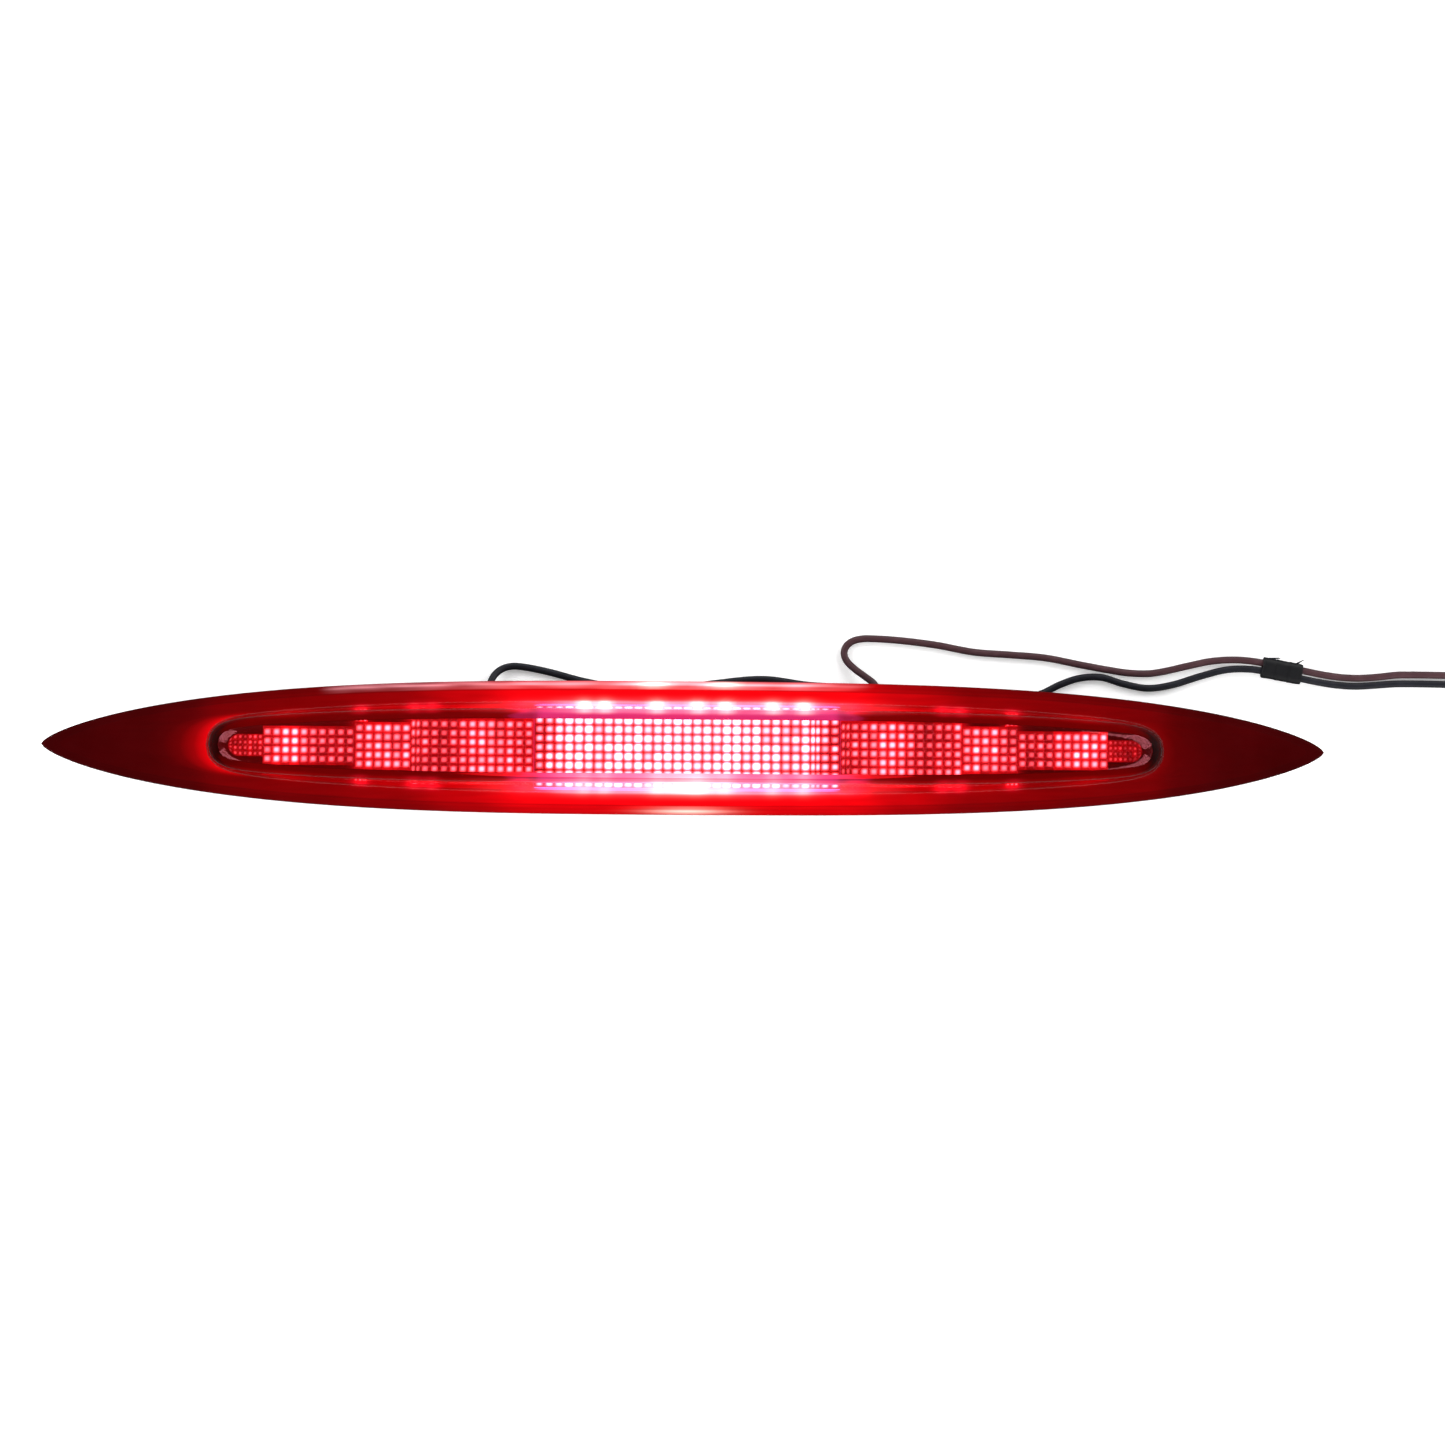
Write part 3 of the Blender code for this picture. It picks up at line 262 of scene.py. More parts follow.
def turned_mesh(name, profile, place=Matrix.Identity(4), closed=False, steps=64):
    """A mesh turned round its own Z axis from (radius, height) pairs."""
    bm = bmesh.new()
    turns = [2 * math.pi * i / steps for i in range(steps)]
    rings = [[Vector((radius * math.cos(t), radius * math.sin(t), height)) for t in turns]
             for radius, height in profile]
    rows = rows_into(bm, rings, closed)
    if not closed:
        bm.faces.new(rows[0])
        bm.faces.new(list(reversed(rows[-1])))
    bm.transform(place)
    return mesh_from(bm, name)


def round_corners(profile, radius, steps=4):
    """A closed or open run of (r, z) pairs with each corner replaced by a small curve."""
    result = [profile[0]]
    for before, corner, after in zip(profile, profile[1:], profile[2:]):
        corner, before, after = Vector(corner), Vector(before), Vector(after)
        reach = min(radius, (before - corner).length / 2.2, (after - corner).length / 2.2)
        start = corner + (before - corner).normalized() * reach
        end = corner + (after - corner).normalized() * reach
        for i in range(steps + 1):
            t = i / steps
            result.append(tuple((1 - t) ** 2 * start + 2 * t * (1 - t) * corner + t ** 2 * end))
    return result + [profile[-1]]


# ---------------------------------------------------------------- materials

class Finish:
    """A material, and short calls that add its nodes."""

    def __init__(self, name, base, roughness, **sockets):
        self.material = bpy.data.materials.new(name)
        self.material.use_nodes = True
        self.tree = self.material.node_tree
        self.shader = self.tree.nodes["Principled BSDF"]
        self.shader.inputs["Base Color"].default_value = (*base, 1)
        self.shader.inputs["Roughness"].default_value = roughness
        for key, value in sockets.items():
            self.shader.inputs[key.replace("_", " ")].default_value = value
        self.place = self.node("ShaderNodeTexCoord").outputs["Object"]

    def node(self, kind, values=None, **settings):
        made = self.tree.nodes.new(kind)
        for key, value in settings.items():
            setattr(made, key, value)
        for key, value in (values or {}).items():
            if isinstance(value, bpy.types.NodeSocket):
                self.tree.links.new(value, made.inputs[key])
            else:
                made.inputs[key].default_value = value
        return made

    def join(self, socket, name):
        self.tree.links.new(socket, self.shader.inputs[name])

    def noise(self, size, detail=3.0, stretch=(1, 1, 1)):
        """Cloudy noise from 0 to 1 whose blobs are about size metres."""
        scaled = self.node("ShaderNodeMapping", {"Vector": self.place, "Scale": stretch})
        made = self.node("ShaderNodeTexNoise", {
            "Vector": scaled.outputs[0], "Scale": 1 / size, "Detail": detail, "Roughness": 0.55})
        return made.outputs[0]

    def cells(self, size):
        made = self.node("ShaderNodeTexVoronoi", {"Vector": self.place, "Scale": 1 / size})
        return made.outputs["Distance"]

    def spread(self, source, low, high, start=0.3, end=0.7):
        made = self.node("ShaderNodeMapRange", {
            "Value": source, "From Min": start, "From Max": end, "To Min": low, "To Max": high})
        return made.outputs[0]

    def colours(self, source, *stops):
        """A colour ramp: each stop is a position and a linear colour."""
        made = self.node("ShaderNodeValToRGB", {"Fac": source})
        ramp = made.color_ramp
        while len(ramp.elements) < len(stops):
            ramp.elements.new(0.5)
        for element, (position, colour) in zip(ramp.elements, stops):
            element.position = position
            element.color = (*colour, 1)
        return made.outputs[0]

    def mixed(self, share, first, second):
        made = self.node("ShaderNodeMix", data_type="RGBA")
        for index, value in ((0, share), (6, first), (7, second)):
            if isinstance(value, bpy.types.NodeSocket):
                self.tree.links.new(value, made.inputs[index])
            else:
                made.inputs[index].default_value = (*value, 1)
        return made.outputs[2]

    def cloud(self, size, low_colour, high_colour, detail=3.0):
        """A base colour that drifts between two colours in clouds of about size metres."""
        self.join(self.colours(self.noise(size, detail), (0.3, low_colour), (0.7, high_colour)),
                  "Base Color")

    def patchy_gloss(self, size, low, high, detail=4.0):
        self.join(self.spread(self.noise(size, detail), low, high), "Roughness")

    def lit(self):
        """Light from inside, as much and of the colour that each vertex carries."""
        self.join(self.node("ShaderNodeVertexColor", layer_name="glow").outputs["Color"],
                  "Emission Color")
        self.shader.inputs["Emission Strength"].default_value = 1.0

    def bump(self, height, distance, strength=1.0, over=None):
        values = {"Height": height, "Distance": distance, "Strength": strength}
        if over:
            values["Normal"] = over
        made = self.node("ShaderNodeBump", values)
        self.join(made.outputs[0], "Normal")
        return made.outputs[0]

    def worn_edges(self, share=0.5):
        """From 0 on flat faces to share on edges that stick out."""
        pointed = self.node("ShaderNodeNewGeometry").outputs["Pointiness"]
        return self.spread(pointed, 0.0, share, 0.51, 0.60)


def moulded(name, base, roughness, grain=0.0004, depth=0.00003, lighter=1.7, **sockets):
    """Moulded plastic or rubber: cloudy colour, patchy gloss, fine grain and paler worn edges."""
    made = Finish(name, base, roughness, **sockets)
    darker = tuple(0.75 * part for part in base)
    paler = tuple(lighter * part for part in base)
    cloudy = made.colours(made.noise(0.012), (0.35, darker), (0.65, base))
    made.join(made.mixed(made.worn_edges(), cloudy, paler), "Base Color")
    made.patchy_gloss(0.006, 0.85 * roughness, min(1.0, 1.2 * roughness))
    made.bump(made.noise(grain, 2.0), depth)
    return made.material


def metal(name, base, roughness, scratch=0.0015):
    """Plated or bare metal: patchy tone, drawn scratches and brighter edges."""
    made = Finish(name, base, roughness, Metallic=1.0)
    darker = tuple(0.6 * part for part in base)
    toned = made.colours(made.noise(0.003, 5.0), (0.3, darker), (0.6, base))
    made.join(made.mixed(made.worn_edges(0.8), toned, tuple(min(1.0, 1.3 * part) for part in base)),
              "Base Color")
    made.join(made.spread(made.noise(scratch, 4.0, (1, 1, 8)), 0.7 * roughness, 1.5 * roughness),
              "Roughness")
    made.bump(made.noise(scratch / 3, 3.0, (1, 1, 6)), 0.00001)
    return made.material


def lens_window():
    """Clear red moulding: it tints what is seen through it, and shows the light it carries."""
    made = Finish("lens_window", (0.93, 0.27, 0.33), 0.03, IOR=1.49, Transmission_Weight=1.0,
                  Specular_IOR_Level=0.15)
    made.patchy_gloss(0.03, 0.015, 0.05, 3.0)
    made.lit()
    made.bump(made.noise(0.011, 2.0), 0.00004, 0.35)
    return made.material


def lens_body():
    """The lens's red flange and wings: deep colour with a satin skin, lit along the window."""
    made = Finish("lens_body", (0.022, 0.0003, 0.0006), 0.34, IOR=1.49, Specular_IOR_Level=0.06)
    deep = made.colours(made.noise(0.02, 3.0), (0.3, (0.018, 0.0002, 0.0004)),
                        (0.7, (0.027, 0.0004, 0.0008)))
    made.join(made.mixed(made.worn_edges(0.35), deep, (0.050, 0.002, 0.003)), "Base Color")
    made.patchy_gloss(0.004, 0.28, 0.42)
    made.lit()
    made.bump(made.noise(0.0009, 3.0), 0.000012)
    return made.material


def lit_optic():
    """Clear pillow optic, full of the LEDs' red light."""
    made = Finish("lit_optic", (0.12, 0.004, 0.006), 0.12, IOR=1.49, Coat_Weight=0.1, Coat_Roughness=0.05)
    made.lit()
    made.patchy_gloss(0.002, 0.08, 0.18, 3.0)
    made.bump(made.noise(0.0012, 2.0), 0.00002, 0.4)
    return made.material


def tray_finish():
    """Dark satin tray: it takes up some of the red light round the optics."""
    made = Finish("tray_finish", (0.030, 0.002, 0.003), 0.42, Specular_IOR_Level=0.1)
    made.cloud(0.008, (0.020, 0.001, 0.002), (0.040, 0.003, 0.004), 4.0)
    made.patchy_gloss(0.003, 0.22, 0.40)
    made.lit()
    made.bump(made.noise(0.0006, 2.0), 0.00002)
    return made.material


def foam():
    """Closed-cell foam: matt, with open pores on its cut faces."""
    made = Finish("foam", (0.022, 0.022, 0.023), 0.92, Specular_IOR_Level=0.25)
    pores = made.cells(0.00045)
    # The pores are painted darker towards their middles: painted shade inside the pits, not a darker
    # material.
    made.join(made.colours(pores, (0.05, (0.008, 0.008, 0.009)), (0.5, (0.030, 0.030, 0.032))),
              "Base Color")
    made.join(made.spread(pores, 0.99, 0.80, 0.0, 0.8), "Roughness")
    made.bump(pores, 0.00018, 0.8)
    return made.material


def pvc(name, base, roughness):
    """Extruded cable sheath: faint drawn lines along it, dust and small dents."""
    made = Finish(name, base, roughness, IOR=1.53)
    dusty = tuple(part * 1.6 + 0.004 for part in base)
    made.join(made.mixed(made.spread(made.noise(0.005, 5.0), 0.0, 0.55, 0.45, 0.75), base, dusty),
              "Base Color")
    made.patchy_gloss(0.0025, 0.85 * roughness, 1.3 * roughness, 3.0)
    fine = made.bump(made.noise(0.0004, 2.0, (0.15, 1, 1)), 0.00001)
    made.bump(made.noise(0.0035, 2.0), 0.00004, 0.5, fine)
    return made.material


def circuit_board():
    """Solder mask over copper tracks: two tones of green, with raised tracks."""
    made = Finish("circuit_board", (0.02, 0.12, 0.045), 0.30, Coat_Weight=0.4)
    tracks = made.node("ShaderNodeTexBrick", {
        "Vector": made.place, "Scale": 260.0, "Mortar Size": 0.06, "Brick Width": 1.9,
        "Row Height": 0.55, "Color1": (0.018, 0.11, 0.04, 1), "Color2": (0.022, 0.13, 0.048, 1),
        "Mortar": (0.008, 0.06, 0.022, 1)})
    made.join(tracks.outputs["Color"], "Base Color")
    made.patchy_gloss(0.004, 0.22, 0.42, 3.0)
    made.bump(tracks.outputs["Fac"], 0.00004, -1.0)
    return made.material


def led_finish():
    """An LED's body, lit red from inside, brightest over the chip."""
    made = Finish("led_finish", (0.75, 0.30, 0.30), 0.20, Coat_Weight=0.5)
    cloudy = made.noise(0.0015, 2.0)
    made.join(made.colours(cloudy, (0.3, (0.70, 0.22, 0.22)), (0.7, (0.85, 0.42, 0.42))), "Base Color")
    made.join(made.colours(cloudy, (0.3, (1.0, 0.06, 0.08)), (0.7, (1.0, 0.16, 0.20))),
              "Emission Color")
    made.shader.inputs["Emission Strength"].default_value = 6.0
    made.bump(cloudy, 0.00002)
    return made.material


LENS_WINDOW = lens_window()
LENS_BODY = lens_body()
LIT_OPTIC = lit_optic()
TRAY_FINISH = tray_finish()
FOAM = foam()
BROWN_PVC = pvc("brown_pvc_sheath", (0.050, 0.022, 0.026), 0.38)
BLACK_PVC = pvc("black_pvc_sheath", (0.011, 0.0115, 0.0155), 0.36)
BOARD = circuit_board()
LED_FINISH = led_finish()
HOUSING_PLASTIC = moulded("housing_plastic", (0.016, 0.016, 0.018), 0.48)
TAPE = moulded("insulating_tape", (0.009, 0.009, 0.010), 0.36, grain=0.0009, depth=0.00004)
RUBBER = moulded("grommet_rubber", (0.014, 0.014, 0.015), 0.66, grain=0.0003, lighter=2.2)
SEAL_BEAD = moulded("seal_bead_skin", (0.035, 0.035, 0.037), 0.50, grain=0.0008, depth=0.00005)
GREY_PLASTIC = moulded("connector_plastic", (0.060, 0.061, 0.066), 0.42)
LOCK_PLASTIC = moulded("lock_plastic_skin", (0.62, 0.16, 0.022), 0.38, lighter=1.25)
SILICONE = moulded("seal_silicone_skin", (0.42, 0.09, 0.035), 0.55, grain=0.0005)
CERAMIC = moulded("resistor_skin", (0.022, 0.022, 0.028), 0.42, grain=0.0003)
STEEL = metal("zinc_plate", (0.62, 0.62, 0.60), 0.30)
BRASS = metal("machined_brass", (0.78, 0.56, 0.24), 0.28)
TIN = metal("tin_plate", (0.72, 0.70, 0.66), 0.30)


# ---------------------------------------------------------------- rings round the lamp

RING_QUARTER = 150


def outline_half_width(x):
    """Half the lens's width at x: a spindle that closes in a point at both ends."""
    share = min(abs(x) / (LENGTH / 2), 1.0)
    return WIDTH / 2 * (1 - share ** SPINDLE_POWER) ** SPINDLE_BLUNTNESS


def wall_height(x):
    """Height of the window's raised wall: tall at the middle, low at the ends."""
    share = min(abs(x) / (WINDOW_LENGTH / 2), 1.0)
    return RIDGE_END + (RIDGE_MIDDLE - RIDGE_END) * (1 - share ** 2)


def round_trip(half_length, half_width_at, height_at, quarter=RING_QUARTER):
    """One closed ring: from the right end along +Y to the left end, and back along -Y."""
    even = [i / quarter for i in range(quarter + 1)]
    steps = [0.6 * t + 0.4 * (1 - (1 - t) ** 3) if t < 1 else 1.0 for t in even]
    shares = steps[::-1] + [-step for step in steps[1:]]
    far_side = [(half_length * share, half_width_at(share)) for share in shares]
    near_side = [(x, -half) for x, half in far_side[-2:0:-1]]
    return [Vector((x, y, height_at(x))) for x, y in far_side + near_side]


def pointed_ring(inset, height):
    """A ring that follows the lens's pointed outline, moved in from it by inset."""
    half_length = LENGTH / 2 - TIP_STRETCH * inset
    half_width = WIDTH / 2 - inset

    def half_width_at(share):
        return half_width * (1 - abs(share) ** SPINDLE_POWER) ** SPINDLE_BLUNTNESS

    return round_trip(half_length, half_width_at, lambda x: height)


def window_ring(inset, height, rise=0.0, spread=1.0, bulge=0.0):
    """A ring with round ends, inset from the lens's outline and some share up the leaning wall."""
    end_inset = inset + rise * RIDGE_END * WALL_LEAN
    end_half_length = WINDOW_LENGTH / 2 - (end_inset - FOOT_INSET)
    end_radius = outline_half_width(end_half_length) - end_inset
    half_length = end_half_length - (1 - spread) * end_radius
    roundness = 2 * end_half_length / end_radius

    def half_width_at(share):
        x = share * half_length
        half = outline_half_width(x) - inset - rise * wall_height(x) * WALL_LEAN
        return spread * half * math.sqrt(1 - abs(share) ** roundness)

    return round_trip(half_length, half_width_at, lambda x: height + rise * wall_height(x) + bulge)


def ringed_mesh(name, rings, closed=False, sharp_angle=35.0):
    """A mesh over the rings, either closed on itself or capped across its first and last ring."""
    bm = bmesh.new()
    rows = rows_into(bm, rings, closed)
    if not closed:
        cap_across(bm, rows[0])
        cap_across(bm, rows[-1])
    return mesh_from(bm, name, sharp_angle)


def cap_across(bm, ring):
    """Closes a ring with faces that run straight across it from side to side."""
    count = len(ring)
    for i in range(count // 2):
        corners = [ring[i], ring[i + 1], ring[(count - i - 1) % count], ring[(count - i) % count]]
        bm.faces.new(list(dict.fromkeys(corners)))


def inner_half_width(x):
    """Free half width inside the reflector tray's skirt, for what sits in it."""
    return outline_half_width(x) - TRAY_INNER_INSET - GAP


# ---------------------------------------------------------------- light in the lens

def along(profile, distance):
    """A value read off (distance, value) pairs, with smooth steps between them."""
    for (near, first), (far, second) in zip(profile, profile[1:]):
        if distance <= far:
            share = min(max((distance - near) / (far - near), 0.0), 1.0)
            return first + (second - first) * share * share * (3 - 2 * share)
    return profile[-1][1]


def hill(distance, width):
    return math.exp(-(distance / width) ** 2)


# Red light that the flange carries, by distance from the lamp's middle
RED_ALONG = ((0.000, 1.20), (0.050, 1.00), (0.070, 0.55), (0.092, 0.27), (0.125, 0.19),
             (0.148, 0.15), (0.158, 0.060), (0.172, 0.028), (0.205, 0.012))
# Pale light that leaves the wall and the rim near the centre LEDs
PALE_ALONG = ((0.000, 0.80), (0.036, 0.70), (0.047, 0.15), (0.056, 0.04), (0.075, 0.0))
RIM_LINE_LEFT = ((0.000, 0.55), (0.050, 0.35), (0.075, 0.30), (0.108, 0.20), (0.118, 0.0))
RIM_LINE_RIGHT = ((0.000, 0.55), (0.034, 0.60), (0.050, 0.12), (0.060, 0.0))
HOT_SPOTS = (-0.0330, -0.0266, -0.0100, 0.0030, 0.0120, 0.0270, 0.0370)
# Where the bracket and the ears of the side optics light the wall beside them, and how much
EAR_LIGHTS = ((0.0525, 1.1), (0.0560, 0.5), (0.0815, 0.55), (0.0870, 0.55), (0.1040, 0.45))
EAR_LIGHT = Vector((1.0, 0.010, 0.030))
EAR_LIGHT_WIDTH = 0.0026
RIM_SPOTS = (-0.0110, 0.0120)
RED_LIGHT = Vector((1.0, 0.001, 0.004))
PALE_LIGHT = Vector((1.0, 0.50, 0.66))
WARM_LIGHT = Vector((1.0, 0.92, 0.78))
PINK_LIGHT = Vector((1.0, 0.42, 0.48))
VIOLET = Vector((1.0, 0.30, 1.0))
INNER_VIOLET = Vector((1.0, 0.10, 0.55))
VIOLET_ALONG = ((0.0460, 1.0), (0.0495, 0.0))
INNER_RED_ALONG = ((0.138, 0.09), (0.150, 0.0))
END_RING_ALONG = ((0.136, 0.0), (0.151, 1.0))
END_RING_LEFT, END_RING_RIGHT = 0.65, 0.05
STREAK_LENGTH, STREAK_WIDTH = 0.011, 0.0012
HOT_SPOT_WIDTH, HOT_SPOT_FAR, HOT_SPOT_NEAR = 0.0024, 1.2, 0.35
LED_SPOT, LED_SPOT_WIDTH = 0.16, 0.0070
NEAR_SPOT_WIDTH = 0.0105
RIM_SPOT, RIM_SPOT_WIDTH, RIM_LINE = 1.4, 0.0045, 4.0


def violet_share(x):
    """How much of the violet light shows at x: all beside the centre optic, and none past its ends."""
    return along(VIOLET_ALONG, abs(x))


def lens_glow(point, red, pale, line, end_ring):
    """Light at a point of the lens, from how much of each kind its ring shows."""
    x, y = point.x, point.y
    distance = abs(x)
    streak = 0.5 + 0.5 * noise.noise(Vector((x / STREAK_LENGTH, y / STREAK_WIDTH, 7.0)))
    light = red * along(RED_ALONG, distance) * (0.85 + 0.3 * streak) * RED_LIGHT
    light += 0.8 * pale * along(PALE_ALONG, distance) * (0.4 + 1.2 * streak) * PALE_LIGHT
    if pale:
        for spot in HOT_SPOTS:
            side = HOT_SPOT_FAR if y > 0 else HOT_SPOT_NEAR
            light += side * pale * hill(x - spot, HOT_SPOT_WIDTH) * WARM_LIGHT
        for place in LED_PLACES:
            light += LED_SPOT * pale * hill(x - place, LED_SPOT_WIDTH) * RED_LIGHT
        for place, strength in EAR_LIGHTS:
            light += strength * pale * hill(distance - place, EAR_LIGHT_WIDTH) * EAR_LIGHT
    if y < 0:
        light += (0.9 * pale + 0.8 * line) * hill(x, NEAR_SPOT_WIDTH) * WARM_LIGHT
    else:
        rim_line = along(RIM_LINE_LEFT if x < 0 else RIM_LINE_RIGHT, distance)
        light += RIM_LINE * line * rim_line * streak * PINK_LIGHT
        for spot in RIM_SPOTS:
            light += RIM_SPOT * line * hill(x - spot, RIM_SPOT_WIDTH) * WARM_LIGHT
    if end_ring:
        end = along(END_RING_ALONG, distance) * (END_RING_LEFT if x < 0 else END_RING_RIGHT)
        light += end_ring * end * RED_LIGHT
    return light


# ---------------------------------------------------------------- lens

# Across the rim: distance in from the edge, share of the wall's height, red light and line light
RIM_PROFILE = (
    (0.00000, 0.00, 0.20, 0.0), (0.00000, 0.30, 0.30, 0.0), (0.00000, 0.55, 0.35, 0.1),
    (0.00006, 0.66, 0.40, 0.3), (0.00022, 0.76, 0.50, 0.4), (0.00050, 0.82, 0.55, 0.6),
    (0.00080, 0.85, 0.60, 1.0), (0.00120, 0.88, 0.65, 1.3), (0.00160, 0.90, 0.60, 0.5),
    (0.00200, 0.92, 0.70, 0.3), (0.00250, 0.94, 0.75, 0.2), (0.00285, 0.96, 0.60, 0.0),
    (0.00310, 0.98, 0.85, 0.0), (0.00340, 1.00, 1.00, 0.0),
)
BAND_SHARES = (0.14, 0.28, 0.42, 0.56, 0.70, 0.82, 0.92)
WALL_RISES = (0.06, 0.13, 0.20, 0.35, 0.50, 0.65, 0.80, 0.94)
CROWN_SPREADS = (0.99, 0.97, 0.94, 0.90, 0.85, 0.78, 0.70, 0.60, 0.50, 0.40, 0.30, 0.20, 0.10, 0.03)
CROWN_LIFT = 0.3 * CROWN_EDGE
WALL_BELLY = CROWN_EDGE / 3
BELLY_RISE = 0.20
EDGE_RISE = 0.94


def belly(rise):
    """How far in the wall's face lies from a straight slope: most at a fifth of its height."""
    if rise <= BELLY_RISE:
        return WALL_BELLY * rise / BELLY_RISE
    return WALL_BELLY * (EDGE_RISE - rise) / (EDGE_RISE - BELLY_RISE)


def crown_ring(inset, low, spread):
    """A ring over the crown, which bulges more towards the middle."""
    bulge = CROWN_LIFT + (CROWN_BULGE - CROWN_LIFT) * (1 - spread ** 2)
    return window_ring(inset, low, 1.0, spread, bulge)


def lens_rings():
    """Rings from the flange's lower edge over the rim and band to the wall's foot, with their light."""
    rings = []
    for inset, share, red, line in RIM_PROFILE:
        rings.append((pointed_ring(inset, FLANGE_UNDERSIDE + share * LENS_WALL), red, 0.0, line, 0.0))
    rim = rings[-1][0]
    foot = window_ring(FOOT_INSET - 0.0003, FLANGE_TOP)
    for share in BAND_SHARES:
        ring = [a.lerp(b, share) for a, b in zip(rim, foot)]
        rings.append((ring, 1.0, 0.25 * share ** 4, 0.0, share ** 12))
    rings.append((foot, 1.0, 0.45, 0.0, 1.0))
    rings.append((window_ring(FOOT_INSET - 0.00006, FLANGE_TOP + 0.00007), 0.9, 0.75, 0.0, 0.8))
    return rings


def window_rings():
    """Rings up the wall's outside and over the crown, with their light."""
    rings = []
    for rise in WALL_RISES:
        shade = 1.0 - 0.5 * rise
        rings.append((window_ring(FOOT_INSET + belly(rise), FLANGE_TOP, rise), 0.55 * shade,
                      1.1 * shade, 0.0, 0.25 * (1 - rise)))
    for turn in (30, 60, 90):
        out = CROWN_EDGE * (1 - math.cos(math.radians(turn)))
        up = math.sin(math.radians(turn))
        ring = window_ring(FOOT_INSET + out, FLANGE_TOP, EDGE_RISE + (1 - EDGE_RISE) * up, 1.0,
                           CROWN_LIFT * up)
        rings.append((ring, 0.18, 0.60 - 0.15 * up, 0.0, 0.0))
    for spread in CROWN_SPREADS:
        ring = crown_ring(FOOT_INSET + CROWN_EDGE, FLANGE_TOP, spread)
        rings.append((ring, 0.012, 0.4 * hill(1 - spread, 0.05), 0.0, 0.0))
    return rings


def inside_rings():
    """Rings from the crown's inside down the inner wall to the lens's opening."""
    inset = FOOT_INSET + CROWN_EDGE + LENS_WALL
    rings = [crown_ring(inset, FLANGE_UNDERSIDE, spread) for spread in reversed(CROWN_SPREADS)]
    for rise in (EDGE_RISE, 0.75, 0.5, 0.25, 0.0):
        rings.append(window_ring(FOOT_INSET + LENS_WALL + rise * CROWN_EDGE, FLANGE_UNDERSIDE, rise))
    return rings


def inner_wall_light(x):
    """Light on the wall's inside: violet beside the centre optic, red on the way to the ends."""
    return (0.36 * violet_share(x) * INNER_VIOLET
            + along(INNER_RED_ALONG, abs(x)) * RED_LIGHT)


def outer_lens():
    """The one-piece lens: a red body round a clear red window, with its light on its vertices."""
    bm = bmesh.new()
    glow = bm.verts.layers.float_color.new("glow")
    body = lens_rings()
    outer = body + window_rings()
    outer_rows = rows_into(bm, [ring for ring, *_ in outer])
    inner_rows = rows_into(bm, inside_rings())
    for i in range(len(inner_rows[-1])):
        j = (i + 1) % len(inner_rows[-1])
        bm.faces.new((inner_rows[-1][i], inner_rows[-1][j], outer_rows[0][j], outer_rows[0][i]))
    cap_across(bm, outer_rows[-1])
    cap_across(bm, inner_rows[0])
    for row, (_, *shares) in zip(outer_rows, outer):
        for vert in row:
            vert[glow] = (*lens_glow(vert.co, *shares), 1)
    for number, row in enumerate(inner_rows):
        for vert in row:
            light = (0, 0, 0) if number < len(CROWN_SPREADS) else inner_wall_light(vert.co.x)
            vert[glow] = (*light, 1)
    solid = {vert for row in outer_rows[:len(body)] for vert in row} | set(inner_rows[-1])
    for face in bm.faces:
        face.material_index = 0 if all(vert in solid for vert in face.verts) else 1
    piece("outer_lens_shell", mesh_from(bm, "outer_lens_shell", 40.0), [LENS_BODY, LENS_WINDOW],
          stands_for=["outer_lens"])


# ---------------------------------------------------------------- optics

OPTIC_LOW = CENTRE_LOW.z
OPTIC_TOP = CENTRE_HIGH.z
PILLOW_PITCH = 0.0029
CENTRE_PITCH = 0.00315
PILLOW_RISE = 0.0009
FINE = 8
CENTRE_HALF = CENTRE_HIGH.x
STRIP_START = RIGHT_LOW.x
NOSE_LENGTH = 0.0110
STRIP_END = RIGHT_HIGH.x - NOSE_LENGTH
NOSE_HALF_WIDTH = 0.0036
STRIP_MARGIN = 0.0005
BRACKET_END = STRIP_START + 0.0065
BIG_EAR = STRIP_START + 0.36 * (STRIP_END - STRIP_START)
BIG_EAR_END = BIG_EAR + 0.0080
SMALL_EAR = STRIP_START + 0.615 * (STRIP_END - STRIP_START)
SMALL_EAR_END = SMALL_EAR + 0.0040

LED_RED = Vector((1.0, 0.23, 0.26))
DEEP_RED = Vector((1.0, 0.010, 0.020))
BETWEEN_LEDS = 0.45
CENTRE_ALONG = ((0.0, 1.3), (0.036, 1.105), (0.052, 0.0))
SIDE_LED, SIDE_LED_WIDTH = 0.55, 0.0085
SPLIT_CHANCE = 0.04

# How brightly the middles of the pillows glow, and the gaps between them
CENTRE_GLOW = (24.0, 0.55)
STRIP_GLOW = (17.0, 0.90)
BRACKET_GLOW = (0.3, 2.0)
EAR_GLOW = (8.0, 1.6)
NOSE_GLOW = {-1: (3.5, 0.80), 1: (2.0, 0.75)}
CENTRE_EDGE_GLOW = 5.0
# Columns and rows of pillows on an ear and on the nose
EAR_PILLOWS = (3, 1)
NOSE_PILLOWS = (7, 4)


def led_light(x):
    """How bright the optics are along the lamp: a hill of light over each LED on a low floor."""
    light = BETWEEN_LEDS + along(CENTRE_ALONG, abs(x))
    for place in LED_PLACES:
        if abs(place) > CENTRE_HALF:
            light += SIDE_LED * hill(x - place, SIDE_LED_WIDTH)
    return light


